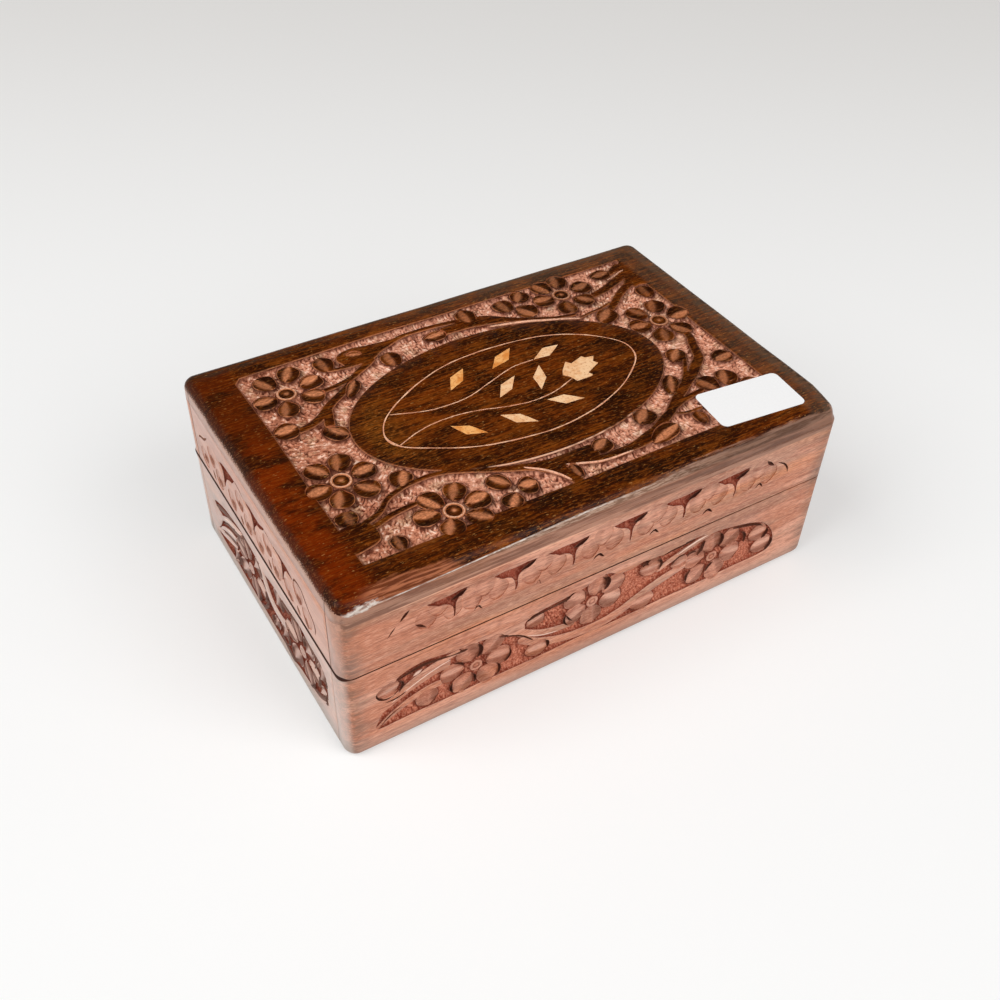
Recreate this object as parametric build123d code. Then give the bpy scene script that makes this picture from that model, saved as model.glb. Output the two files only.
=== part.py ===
from build123d import *
import os
from math import radians, tan

# A hinged keepsake box of solid boards. Every outer face is relief carved: the ground is sunk and
# the flowers, leaves and vines are left standing at the height of the board. The lid has an oval
# medallion with pale inlays. Millimetres, origin at the middle of the underside, +X along the
# front, +Y towards the hinges, +Z up.

# Overall
LENGTH = 215.0
DEPTH = 140.0
HEIGHT = 80.0
SEAM_Z = 44.0          # height at which the lid parts from the box
SEAM_GAP = 0.16        # hairline between the lid's rim and the box's rim
WALL = 8.0             # thickness of the standing boards
TOP_BOARD = 8.0
BOTTOM_BOARD = 5.0

# Rounded outer edges
CORNER_R = 5.0
TOP_EDGE_R = 4.0
FOOT_EDGE_R = 2.5

# Carving
TOP_SINK = 1.9         # depth of the sunk ground on the lid
SIDE_SINK = 2.0        # depth of the sunk ground on the sides
FIELD = (0.9, 0.9, 182.2, 114.8)         # sunk field on the lid: centre x, y, length, width
MEDALLION = (0.6, 0.0, 66.8, 39.5)       # oval left standing: centre x, y, half axes
PETAL = (9.6, 8.2)     # length outwards and width
BOSS_R = 3.6           # round middle of a flower

# Inlay
INLAY_DEPTH = 0.6
WIRE = 0.65            # width of the inlaid lines

# Label
LABEL = (77.1, -50.1, 38.1, 21.2, 2.5, -5.3)   # centre x, y, length, width, corner radius, turn
LABEL_T = 0.12

# Hinges
HINGE_X = 62.0         # each side of the middle
AXIS_IN = 2.2          # the axis lies this far inside the back face
LEAF_L = 28.0
LEAF_IN = 4.9          # from the axis to the leaf's front edge
LEAF_T = 1.0
LEAF_OFF = 0.1         # each leaf stands this far off the seam
BARREL_R = 1.5
PIN_R = 0.6
PIN_PLAY = 0.05        # running clearance in the lid's knuckles
KNUCKLES = 5
KNUCKLE_GAP = 0.1
BARREL_ROOM = 0.25     # clearance around the barrel in wood and leaf
GROOVE_ANGLE = 51.5    # slope of the groove's walls either side of the seam
SCREW_X = 8.4
SCREW_IN = 2.9         # from the axis to the screws
SHANK_R = 0.75
HEAD_R = 1.4
HEAD_T = 0.65
SCREW_L = 7.0
SLOT = (0.35, 0.3)     # width and depth of the screw's slot

AXIS_Y = DEPTH / 2 - AXIS_IN
LID_Z = SEAM_Z + SEAM_GAP / 2
RIM_Z = SEAM_Z - SEAM_GAP / 2
INNER_X = LENGTH / 2 - WALL
INNER_Y = DEPTH / 2 - WALL

# Faces of the box as drawing planes, +y up the face and +x to the right of someone facing it
TOP = Plane.XY.offset(HEIGHT)
FRONT = Plane((0, -DEPTH / 2, 0), x_dir=(1, 0, 0), z_dir=(0, -1, 0))
BACK = Plane((0, DEPTH / 2, 0), x_dir=(-1, 0, 0), z_dir=(0, 1, 0))
LEFT = Plane((-LENGTH / 2, 0, 0), x_dir=(0, -1, 0), z_dir=(-1, 0, 0))
RIGHT = Plane((LENGTH / 2, 0, 0), x_dir=(0, 1, 0), z_dir=(1, 0, 0))

# Flowers: middle, then the middles of the six petals
LID_FLOWERS = [
    [(-76, 39.6), (-80.5, 49.5), (-70.5, 50.8), (-64.8, 42.3), (-67.5, 34), (-78.8, 31), (-84.8, 38.3)],
    [(-79.1, -15.3), (-84.5, -7), (-75.3, -6), (-70, -14), (-73, -23), (-82.8, -23.8), (-88, -16.8)],
    [(-52.3, -48), (-56.8, -39.8), (-47.3, -39.5), (-42.5, -47), (-46, -54.5), (-56.3, -54.5),
     (-61.8, -46.3)],
    [(54.1, 47), (49.5, 55.5), (58, 56.5), (65, 48.3), (61, 39.5), (51.3, 38), (45.5, 47)],
    [(79.5, 11), (70.5, 11.5), (74.3, 19.5), (84.5, 20.5), (90, 12), (84.5, 2.5), (75, 2)],
    [(74.5, -43.5), (70, -33.5), (79, -34), (84.5, -42), (79, -52), (69, -52), (64.5, -43)],
]
SIDE_FLOWERS = [
    [(-55.6, 22.3), (-58.5, 30.5), (-49.5, 29.5), (-46.5, 21.5), (-51.2, 14.8), (-61.5, 15.6), (-65.6, 23.4)],
    [(-4.3, 29.6), (-3.7, 37), (-12, 34), (-11, 25), (-2.6, 21.6), (5, 26.5), (5.2, 35)],
    [(54, 23.8), (52, 31.5), (44.5, 27), (46.8, 17.4), (56.4, 15.2), (62.6, 22.6), (60.4, 30.6)],
]
END_FLOWERS = [
    [(33.5, 22.5), (28.5, 30.5), (38.5, 29.8), (43, 21.5), (37, 14), (26.5, 14.5), (24, 23.5)],
    [(-15.5, 22), (-19.5, 30), (-8.5, 29.5), (-5.5, 20), (-12.5, 13), (-22, 14.6), (-25.5, 23.5)],
]

# Leaves and buds: middle, length, width, turn in degrees
LID_LEAVES = [
    (-55.8, 50, 10, 8.5, 90), (-44, 51, 10, 6, -40), (-85.5, 19, 10, 9, 0), (-68.8, 9.5, 10.5, 8, -50),
    (-52.5, 29.5, 11, 5.5, 60), (-30.8, 39.8, 10, 8.5, 90), (-85.8, -33.5, 8, 7.5, 90),
    (-60.5, -25, 9, 8, 60), (-75.5, -51.5, 7.5, 6, 90), (-31.5, -41.5, 9, 8, 0), (-23, -48.5, 9, 8, 0),
    (-31.5, -52, 9, 7.5, 0), (10, 51.5, 10, 8.5, 90), (-8, 46.5, 11, 7, 0), (27.3, 51.3, 9.5, 9, 0),
    (37.3, 52.5, 9.5, 9, 20), (35, 44, 9.5, 8.5, 0), (12.5, -43.5, 9.5, 7, 0), (36, -37.8, 9.5, 9.5, 0),
    (41, -49.5, 13, 7, -20), (77.5, 51, 10, 8, 0), (61.5, 24.5, 10, 8, 35), (86.5, 34, 9, 7, 0),
    (71, -11, 10, 8, 45), (86.5, -21.5, 9.5, 8.5, 0), (57.3, -26.5, 11, 6, 55), (54, -47.5, 7, 6.5, 0),
]
SIDE_LEAVES = [
    (-91.6, 30, 8.5, 7.6, 0), (-76, 15.6, 9, 8, 90), (-29.5, 32, 8, 7.4, 90), (-29.4, 15.2, 8.6, 8.2, 90),
    (21.8, 33.4, 9, 8.2, 90), (20.6, 14.4, 9, 8.4, 0), (36.2, 28.7, 7, 6, 0), (77.2, 25, 9.4, 8.4, 60),
    (80.6, 16, 10.4, 7.6, 10),
]
END_LEAVES = [
    (50.3, 28.5, 9, 7.6, 70), (49.8, 17.4, 7.4, 6.6, 40), (12, 29.6, 9.4, 8.4, 60), (12.4, 14.2, 9, 7.6, 60),
    (-35.6, 14.4, 10, 8.4, 60), (3.6, 12.2, 8, 6.6, 60),
]

# Vines: width, then points along the middle
LID_VINES = [
    (3.2, [(-64, 34), (-55, 34.3), (-45, 40), (-35, 46), (-20, 50.6), (-5, 52), (7, 48.6), (20, 43.5),
           (30, 38), (40, 34), (49, 32.6)]),
    (2.6, [(-50, 34), (-58, 30), (-65, 24), (-72, 20), (-81, 17)]),
    (3.0, [(-90.2, -46), (-75, -36.4), (-65, -30), (-52, -28.6), (-37.5, -33), (-24, -39.6), (-10, -43),
           (6, -44)]),
    (2.6, [(-90.2, -43), (-82, -43), (-70, -39.8), (-61, -38.8)]),
    (4.4, [(-16, -42), (-9.5, -48), (-6, -56.5)]),
    (4.0, [(-1, -46.5), (10, -50), (25, -48.5), (37.5, -43.5), (48, -38), (60, -31), (70, -24), (77.5, -17),
           (81.5, -7), (83, 0)]),
    (2.6, [(50, -38), (58, -35.6), (67, -36)]),
    (3.0, [(92, 55), (82, 47), (74, 43.6), (65, 40)]),
    (2.8, [(92, 42.6), (82, 39), (73, 32.5), (66, 28)]),
]
SIDE_VINES = [
    (3.4, [(-95.5, 12), (-88, 17), (-80, 22.6), (-72, 24.6), (-66, 24)]),
    (3.2, [(-93, 21.5), (-86, 27), (-78, 31), (-69, 33), (-61, 33.4)]),
    (3.8, [(-47, 34.6), (-38, 30.6), (-31, 25.2), (-24, 22.8), (-15, 20.6), (-9, 19)]),
    (4.6, [(-33, 22.4), (-26, 17.6), (-14, 14.4), (0, 14.2), (12, 17), (24, 22.4), (33, 24.6), (42, 25)]),
    (3.0, [(18, 26.6), (27, 30.6), (38, 34.6), (48, 36)]),
]
END_VINES = [
    (2.8, [(-53, 9.5), (-45, 15.5), (-37, 20.5), (-28, 23.5)]),
    (3.2, [(-50, 13.5), (-43, 21.5), (-35, 28), (-26, 32.6), (-18, 33.8)]),
    (4.0, [(-3, 33), (1, 26.4), (7, 21.6), (15, 21), (23, 23)]),
]

# Outlines of the sunk fields on the sides of the box, as points of a smooth closed line
SIDE_FIELD = [
    (-95.6, 12.6), (-80, 10.4), (-50, 10.2), (-20, 10.8), (10, 10.4), (45, 10), (72, 10.8), (85, 13),
    (86.4, 18.4), (82.4, 26), (76, 31.4), (62, 35.4), (46, 38), (26, 38), (8, 38.6), (-4, 41), (-16, 37),
    (-34, 35.6), (-47, 34.4), (-62, 35.2), (-78, 36.6), (-92, 34), (-95.6, 29), (-90, 24), (-89, 18.4),
]
END_FIELD = [
    (-54, 9), (-38, 7.4), (-20, 6.6), (0, 6.2), (22, 5.4), (38, 7.2), (51, 12), (54.4, 20), (54, 31),
    (44, 34.8), (26, 35), (8, 34.6), (-6, 34.4), (-22, 36), (-40, 34.6), (-49, 30), (-47, 22),
]

# The scalloped band on the lid's sides: middles of the sunk gaps between the trefoils
SIDE_GAPS = (-65.0, -40.6, -16.6, 8.6, 32.6, 57.4)
END_GAPS = (-31.0, -3.5, 24.2)
GAP_TOP = 65.2
GAP_NECK = 59.6
GAP_FOOT = 53.6
GAP_HALF = 8.2
NECK_HALF = 0.6

# Inlays
OVAL = [
    (-55, -1), (-53, -9), (-45, -14.8), (-30, -22.5), (-15, -26.4), (2.5, -28.3), (20, -26), (35, -20.8),
    (45, -15), (54.5, -6.6), (57, 2), (53, 10), (42, 19.2), (27, 25.2), (5, 27.5), (-15, 25.8),
    (-33, 19), (-48.5, 9),
]
UPPER_STEM = [
    (-47.9, 8.7), (-36, 4.5), (-28, 3.3), (-17, 3.8), (-5, 7.8), (5, 11.3), (10, 12.3), (17.9, 12.4),
]
LOWER_STEM = [
    (-52.4, -8.8), (-42.5, -5), (-32, -3.5), (-20, -4.5), (-5, -8.8), (5, -10.2), (15, -9), (24.4, -5.6),
]
LOZENGES = [  # tip, side corner, tip, side corner
    [(-20.8, 10.5), (-16.8, 18), (-9.3, 21), (-13.3, 13.8)],
    [(0.3, 14.8), (5.5, 21.3), (14, 23.8), (9.5, 17)],
    [(18, 12.3), (25.3, 17.3), (32.5, 16.3), (25.3, 11.5)],
    [(-6.5, -2.5), (-2, 4.5), (6, 7), (0.5, 0)],
    [(10.3, -5.8), (11.5, 2.5), (18, 8.3), (16.3, 0)],
    [(-31.5, -8), (-25, -11.3), (-20.8, -18.3), (-28.5, -15.3)],
    [(-12, -11.4), (-4.8, -14.5), (-1, -21.8), (-8.8, -18.3)],
    [(8.5, -12), (16, -12.5), (22, -18.3), (13.8, -17.8)],
]
TULIP = [
    (24.5, -4.5), (22.5, -2), (24.3, 0.8), (28.3, 5), (29.8, 3), (36, 5), (36.8, 3.5), (40.5, 2.8),
    (38.3, 0), (39.5, -2), (32.5, -5.5), (33.3, -7.3), (32.3, -8), (25.5, -8),
]

os.makedirs("parts", exist_ok=True)


def save(name, solid):
    solid.label = name
    export_step(solid, f"parts/{name}.step")


def span(x, y, z):
    """Block between two limits on each axis."""
    return Box(x[1] - x[0], y[1] - y[0], z[1] - z[0], align=Align.MIN).moved(Location((x[0], y[0], z[0])))


# Drawings for the carving ------------------------------------------------------------------

def oval(x, y, long, wide, turn):
    return Pos(x, y) * Rot(0, 0, turn) * Ellipse(long / 2, wide / 2)


def flower(middle, *petals):
    """Six petals, each pointing at the middle, around a round boss."""
    centre = Vector(*middle)
    parts = [Pos(*middle) * Circle(BOSS_R)]
    for petal in petals:
        turn = Vector(1, 0).get_signed_angle(Vector(*petal) - centre, Vector(0, 0, 1))
        parts.append(oval(*petal, *PETAL, turn))
    return parts


def edge_points(line, offset, steps):
    """Points beside a line, at a constant distance to its left."""
    points = []
    for i in range(steps + 1):
        along = line % (i / steps)
        points.append(line @ (i / steps) + Vector(-along.Y, along.X) * offset)
    return points


def ribbon(width, points):
    """Strip of even width along a smooth open line."""
    line = Spline(*points)
    steps = 2 * len(points)
    left = edge_points(line, width / 2, steps)
    right = edge_points(line, -width / 2, steps)
    return make_face(Spline(*left) + Line(left[-1], right[-1]) + Spline(*right) + Line(right[0], left[0]))


def loop_face(points):
    return make_face(Spline(*points, periodic=True))


def ring(width, points):
    """Strip of even width around a smooth closed line that runs anticlockwise."""
    line = Spline(*points, periodic=True)
    steps = 2 * len(points)
    outer = edge_points(line, -width / 2, steps)[:-1]
    inner = edge_points(line, width / 2, steps)[:-1]
    return loop_face(outer) - loop_face(inner)


def scallop_gap(x):
    """Sunk gap between two trefoils: a flat top, hollow flanks and a thin neck."""
    shoulder = GAP_TOP - 1.4
    outline = Polyline((x - GAP_HALF, shoulder), (x - GAP_HALF, GAP_TOP), (x + GAP_HALF, GAP_TOP),
                       (x + GAP_HALF, shoulder))
    outline += ThreePointArc((x + GAP_HALF, shoulder), (x + 3.2, 62.6), (x + NECK_HALF, GAP_NECK))
    outline += Polyline((x + NECK_HALF, GAP_NECK), (x + NECK_HALF, GAP_FOOT), (x - NECK_HALF, GAP_FOOT),
                        (x - NECK_HALF, GAP_NECK))
    outline += ThreePointArc((x - NECK_HALF, GAP_NECK), (x - 3.2, 62.6), (x - GAP_HALF, shoulder))
    return make_face(outline)


def sink(board, face, ground, depth):
    """Cut a drawing into one face of a board."""
    return board - extrude(face * ground, -depth)


def standing(flowers, leaves, vines):
    """Everything that is left standing in a sunk field."""
    parts = [oval(*leaf) for leaf in leaves] + [ribbon(*vine) for vine in vines]
    for drawn in flowers:
        parts += flower(*drawn)
    return parts


# Outer form, cut into boards ---------------------------------------------------------------

def outer_form():
    block = span((-LENGTH / 2, LENGTH / 2), (-DEPTH / 2, DEPTH / 2), (0, HEIGHT))
    block = fillet(block.edges().filter_by(Axis.Z), CORNER_R)
    block = fillet(block.faces().sort_by(Axis.Z)[-1].edges(), TOP_EDGE_R)
    return fillet(block.faces().sort_by(Axis.Z)[0].edges(), FOOT_EDGE_R)


def hinge_groove():
    """V groove along the back of the seam: its walls meet when the lid is fully open."""
    run = 2 * AXIS_IN
    rise = run * tan(radians(GROOVE_ANGLE))
    corners = [(AXIS_Y, SEAM_Z), (AXIS_Y + run, SEAM_Z + rise), (AXIS_Y + run, SEAM_Z - rise)]
    return extrude(Plane.YZ * Polygon(*corners, align=None), LENGTH, both=True)


def along_x(x, radius, length):
    """Cylinder on the hinge axis."""
    return Pos(x, AXIS_Y, SEAM_Z) * Rot(0, 90, 0) * Cylinder(radius, length)


# Hinges ------------------------------------------------------------------------------------

def knuckle_places(x, ours):
    """Middles of the knuckles of one leaf: the box leaf has the odd ones, outermost included."""
    pitch = LEAF_L / KNUCKLES
    first = x - LEAF_L / 2 + pitch / 2
    return [first + i * pitch for i in range(KNUCKLES) if (i % 2 == 0) == ours]


def screw_places(x):
    return [(x - SCREW_X, AXIS_Y - SCREW_IN), (x + SCREW_X, AXIS_Y - SCREW_IN)]


def leaf_face_z(side):
    """Height of the leaf's face on the seam: side is -1 for the box and 1 for the lid."""
    return SEAM_Z + side * LEAF_OFF


def screw_form(x, y, side):
    """A countersunk screw without its slot, flush with the leaf's face and pointing into the wood."""
    head = Cone(SHANK_R, HEAD_R, HEAD_T, align=(Align.CENTER, Align.CENTER, Align.MAX))
    shank = Cylinder(SHANK_R, SCREW_L - HEAD_T, align=(Align.CENTER, Align.CENTER, Align.MAX))
    form = head + Pos(0, 0, -HEAD_T) * shank
    if side > 0:
        form = Rot(180, 0, 0) * form
    return Pos(x, y, leaf_face_z(side)) * form


def screw(x, y, side):
    slot = Box(2 * HEAD_R, SLOT[0], 2 * SLOT[1])
    return screw_form(x, y, side) - Pos(x, y, leaf_face_z(side)) * slot


def leaf_plate(x, side):
    z = sorted((leaf_face_z(side), leaf_face_z(side) + side * LEAF_T))
    return span((x - LEAF_L / 2, x + LEAF_L / 2), (AXIS_Y - LEAF_IN, AXIS_Y), z)


def hinge_leaf(x, side):
    is_box = side < 0
    pitch = LEAF_L / KNUCKLES
    leaf = leaf_plate(x, side)
    for place in knuckle_places(x, not is_box):
        leaf -= along_x(place, BARREL_R + BARREL_ROOM, pitch)
    for place in knuckle_places(x, is_box):
        leaf += along_x(place, BARREL_R, pitch - 2 * KNUCKLE_GAP)
    leaf -= along_x(x, PIN_R if is_box else PIN_R + PIN_PLAY, LEAF_L)
    for place in screw_places(x):
        leaf -= screw_form(*place, side)
    return leaf


def hinge_seat(x, side):
    """Room that a back wall gives to one hinge: the leaf's mortise, the barrel and the screws."""
    z = sorted((SEAM_Z - side * LEAF_OFF, leaf_face_z(side) + side * LEAF_T))
    seat = span((x - LEAF_L / 2, x + LEAF_L / 2), (AXIS_Y - LEAF_IN, AXIS_Y), z)
    seat += along_x(x, BARREL_R + BARREL_ROOM, LEAF_L + 2 * BARREL_ROOM)
    for place in screw_places(x):
        seat += screw_form(*place, side)
    return seat


# Build -------------------------------------------------------------------------------------

form = outer_form() - hinge_groove()
WALL_SPANS = {
    "front": ((-LENGTH, LENGTH), (-DEPTH, -INNER_Y)),
    "back": ((-LENGTH, LENGTH), (INNER_Y, DEPTH)),
    "left": ((-LENGTH, -INNER_X), (-INNER_Y, INNER_Y)),
    "right": ((INNER_X, LENGTH), (-INNER_Y, INNER_Y)),
}
FACES = {"front": FRONT, "back": BACK, "left": LEFT, "right": RIGHT}

long_side = loop_face(SIDE_FIELD) - standing(SIDE_FLOWERS, SIDE_LEAVES, SIDE_VINES)
short_side = loop_face(END_FIELD) - standing(END_FLOWERS, END_LEAVES, END_VINES)
long_band = Sketch() + [scallop_gap(x) for x in SIDE_GAPS]
short_band = Sketch() + [scallop_gap(x) for x in END_GAPS]

for side_name, (x_span, y_span) in WALL_SPANS.items():
    box_wall = form & span(x_span, y_span, (0, RIM_Z))
    lid_wall = form & span(x_span, y_span, (LID_Z, HEIGHT - TOP_BOARD))
    is_long = side_name in ("front", "back")
    box_wall = sink(box_wall, FACES[side_name], long_side if is_long else short_side, SIDE_SINK)
    lid_wall = sink(lid_wall, FACES[side_name], long_band if is_long else short_band, SIDE_SINK)
    if side_name == "back":
        for x in (-HINGE_X, HINGE_X):
            box_wall -= hinge_seat(x, -1)
            lid_wall -= hinge_seat(x, 1)
    save(f"box_{side_name}_wall", box_wall)
    save(f"lid_{side_name}_wall", lid_wall)

save("box_bottom_board", span((-INNER_X, INNER_X), (-INNER_Y, INNER_Y), (0, BOTTOM_BOARD)))

inlays = {
    "inlay_oval_line": ring(WIRE, OVAL),
    "inlay_stem_upper": ribbon(WIRE, UPPER_STEM),
    "inlay_stem_lower": ribbon(WIRE, LOWER_STEM),
    "inlay_tulip": make_face(Polyline(*TULIP, close=True)),
}
for number, corners in enumerate(LOZENGES, 1):
    inlays[f"inlay_leaf_{number}"] = make_face(Polyline(*corners, close=True))

medallion = Pos(*MEDALLION[:2]) * Ellipse(*MEDALLION[2:])
lid_ground = Pos(*FIELD[:2]) * Rectangle(*FIELD[2:]) - medallion
lid_ground = lid_ground - standing(LID_FLOWERS, LID_LEAVES, LID_VINES)
top_board = form & span((-LENGTH, LENGTH), (-DEPTH, DEPTH), (HEIGHT - TOP_BOARD, HEIGHT))
top_board = sink(top_board, TOP, lid_ground, TOP_SINK)
for name, drawing in inlays.items():
    piece = extrude(TOP * drawing, -INLAY_DEPTH)
    top_board -= piece
    save(name, piece)
save("lid_top_board", top_board)

label_x, label_y, label_l, label_w, label_r, label_turn = LABEL
label_face = Pos(label_x, label_y) * Rot(0, 0, label_turn) * RectangleRounded(label_l, label_w, label_r)
save("paper_label", extrude(TOP * label_face, LABEL_T))

for name, x in (("left", -HINGE_X), ("right", HINGE_X)):
    save(f"hinge_{name}_box_leaf", hinge_leaf(x, -1))
    save(f"hinge_{name}_lid_leaf", hinge_leaf(x, 1))
    save(f"hinge_{name}_pin", along_x(x, PIN_R, LEAF_L))

for name, side in (("box", -1), ("lid", 1)):
    screws = [screw(*place, side) for x in (-HINGE_X, HINGE_X) for place in screw_places(x)]
    save(f"hinge_{name}_screws", Compound(children=screws))
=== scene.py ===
import bpy
import bmesh
import math
import random
import numpy as np
from mathutils import Vector, Matrix, kdtree
from mathutils.geometry import delaunay_2d_cdt


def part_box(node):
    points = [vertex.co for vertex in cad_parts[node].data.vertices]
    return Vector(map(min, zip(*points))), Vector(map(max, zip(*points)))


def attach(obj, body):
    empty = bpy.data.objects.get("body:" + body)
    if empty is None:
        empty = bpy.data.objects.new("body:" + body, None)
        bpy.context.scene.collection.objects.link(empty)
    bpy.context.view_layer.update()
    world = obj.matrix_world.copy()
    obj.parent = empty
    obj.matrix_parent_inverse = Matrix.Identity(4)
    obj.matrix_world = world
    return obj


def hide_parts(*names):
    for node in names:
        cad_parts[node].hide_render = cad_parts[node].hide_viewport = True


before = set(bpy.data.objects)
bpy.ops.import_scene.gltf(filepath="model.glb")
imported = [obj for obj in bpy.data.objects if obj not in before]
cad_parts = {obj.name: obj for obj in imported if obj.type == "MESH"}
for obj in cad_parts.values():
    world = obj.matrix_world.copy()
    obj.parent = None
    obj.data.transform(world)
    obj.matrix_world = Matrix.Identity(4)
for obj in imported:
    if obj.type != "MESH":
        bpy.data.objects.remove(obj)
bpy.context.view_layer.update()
mm = 0.001

# the box in mm: half of its length, of its depth and of the depth between its long boards, and heights
form = {"halfLength": 107.5, "halfDepth": 70, "innerDepth": 62, "top": 80, "underTop": 72, "seam": 44}

camera = {
    "place": (-190.15, -292.02, 344.03),  # mm
    "azimuth": 32.628,
    "elevation": 42.761,
    "roll": 2.139,
    "lens": 40.69,
}


def addCamera(c):
    az, el, roll = (math.radians(c[k]) for k in ("azimuth", "elevation", "roll"))
    ahead = Vector((math.sin(az) * math.cos(el), math.cos(az) * math.cos(el), -math.sin(el)))
    right = ahead.cross(Vector((0, 0, 1))).normalized()
    up = right.cross(ahead)
    r = right * math.cos(roll) + up * math.sin(roll)
    u = up * math.cos(roll) - right * math.sin(roll)
    turn = Matrix((r, u, -ahead)).transposed().to_4x4()
    bpy.ops.object.camera_add()
    cam = bpy.context.object
    cam.matrix_world = Matrix.Translation(Vector(c["place"]) * mm) @ turn
    cam.data.lens = c["lens"]
    cam.data.sensor_width = 36
    cam.data.clip_start = 0.01
    bpy.context.scene.camera = cam


addCamera(camera)
print("camera set")


class Link:
    # a value in a node tree; + - * and ** add Math nodes
    def __init__(self, mat, socket):
        self.mat, self.socket = mat, socket

    def math(self, operation, *others, clamp=False):
        return self.mat.node("ShaderNodeMath", {"operation": operation, "use_clamp": clamp}, [self, *others])

    def __add__(self, other): return self.math("ADD", other)
    def __radd__(self, other): return self.math("ADD", other)
    def __sub__(self, other): return self.math("SUBTRACT", other)
    def __mul__(self, other): return self.math("MULTIPLY", other)
    def __rmul__(self, other): return self.math("MULTIPLY", other)
    def __pow__(self, other): return self.math("POWER", other)
    def __neg__(self): return 0 - self

    def __rsub__(self, other):
        return self.mat.node("ShaderNodeMath", {"operation": "SUBTRACT"}, [other, self])

    def clamp(self): return self.math("ADD", 0.0, clamp=True)

    def size(self): return self.math("ABSOLUTE")

    def most(self, other): return self.math("MAXIMUM", other)

    def between(self, low, high):
        # 0 below low, 1 above high, smooth in between
        return self.mat.node("ShaderNodeMapRange", {"interpolation_type": "SMOOTHSTEP"},
                             {"Value": self, "From Min": low, "From Max": high})

    def under(self, low, high): return 1 - self.between(low, high)

    def tones(self, low, high, a, b):
        # colour a below low, colour b above high
        return self.mat.mix(self.between(low, high), a, b)


class Material:
    def __init__(self, name):
        self.material = bpy.data.materials.new(name)
        self.start("Principled BSDF", "Object")

    def start(self, shader, coords):
        self.material.use_nodes = True
        self.tree = self.material.node_tree
        self.shader = self.tree.nodes[shader]
        self.coords = self.node("ShaderNodeTexCoord", {}, {}, coords)

    def node(self, kind, settings, inputs, output=0):
        made = self.tree.nodes.new(kind)
        for key, value in settings.items():
            setattr(made, key, value)
        for key, value in inputs.items() if isinstance(inputs, dict) else enumerate(inputs):
            self.plug(value, made.inputs[key])
        return Link(self, made.outputs[output])

    def plug(self, value, socket):
        # in a colour socket, three numbers are a screen colour and four a linear one
        if isinstance(value, Link):
            self.tree.links.new(value.socket, socket)
        elif socket.type == "RGBA" and len(value) == 3:
            socket.default_value = (*linear(*value), 1)
        else:
            socket.default_value = value

    def noise(self, scale, stretch=(1, 1, 1), detail=3.0, rough=0.5, place=(0, 0, 0), distortion=0.0):
        where = self.node("ShaderNodeMapping", {}, {"Vector": self.coords, "Location": place,
                                                    "Scale": tuple(scale * s for s in stretch)})
        return self.node("ShaderNodeTexNoise", {}, {"Vector": where, "Scale": 1.0, "Detail": detail,
                                                    "Roughness": rough, "Distortion": distortion})

    def mix(self, factor, a, b):
        return self.node("ShaderNodeMix", {"data_type": "RGBA"}, {0: factor, 6: a, 7: b}, 2)

    def paint(self, colour, *coats):
        # coats of (amount, tone), one over the other
        for amount, tone in coats:
            colour = self.mix(amount, colour, tone)
        return colour

    def axis(self, name):
        return self.node("ShaderNodeSeparateXYZ", {}, [self.coords], name)

    def attribute(self, name):
        colour = self.node("ShaderNodeAttribute", {"attribute_name": name}, {}, "Color")
        return [self.node("ShaderNodeSeparateColor", {}, [colour], k) for k in ("Red", "Green", "Blue")]

    def bump(self, height, strength, distance):
        return self.node("ShaderNodeBump", {}, {"Height": height, "Strength": strength, "Distance": distance})

    def finish(self, **sockets):
        for key, value in sockets.items():
            self.plug(value, self.shader.inputs[key.replace("_", " ")])
        return self.material


def linear(*screen):
    # screen colour 0-255 to the linear colour that a shader wants
    return (c / 12.92 if c <= 0.04045 else ((c + 0.055) / 1.055) ** 2.4 for c in (v / 255 for v in screen))


# Drawings are in millimetres on the face of a board: u to the right, v up, depth below zero.

def smoothLine(points, step):
    # even points along a smooth line through given ones; extra columns such as width come along
    p = np.array(points, float)
    p = np.vstack([2 * p[0] - p[1], p, 2 * p[-1] - p[-2]])
    out = []
    for i in range(1, len(p) - 2):
        a, b, c, d = p[i - 1], p[i], p[i + 1], p[i + 2]
        n = max(2, int(math.dist(b[:2], c[:2]) / step))
        t = (np.arange(n) / n)[:, None]
        out.append(0.5 * (2 * b + (c - a) * t + (2 * a - 5 * b + 4 * c - d) * t ** 2
                          + (3 * b - a - 3 * c + d) * t ** 3))
    out.append(p[-2][None])
    return np.vstack(out)


def smoothLoop(points, step):
    p = [points[-1], *points, points[0], points[1]]
    line = smoothLine(p, step)
    away = lambda part: np.hypot(*(part[:, :2] - np.array(points[0])[:2]).T)
    after = line[int(np.argmin(away(line))):]
    half = len(after) // 2
    return after[:int(np.argmin(away(after[half:]))) + half]


def normals(loop):
    # to the right of a closed line
    ahead = np.roll(loop, -1, 0) - np.roll(loop, 1, 0)
    normal = np.stack([ahead[:, 1], -ahead[:, 0]], 1)
    return normal / np.maximum(np.hypot(*normal.T), 1e-9)[:, None]


def wobbled(loop, amount, rng):
    # push a closed outline in and out a little, as a hand-held knife would
    t = np.arange(len(loop)) / len(loop) * 2 * math.pi
    push = sum(rng.uniform(-1, 1) * np.sin(k * t + rng.uniform(0, 6.28)) / k ** 0.5 for k in (2, 3, 5, 7))
    return loop + normals(loop) * (push * amount)[:, None]


def inset(loop, distance):
    # loop runs anticlockwise
    return loop - normals(loop) * distance


def unit(value):
    return np.clip(value, 0, 1)


def signedArea(loop):
    x, y = loop.T
    return 0.5 * float(np.sum(x * np.roll(y, -1) - np.roll(x, -1) * y))


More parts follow.
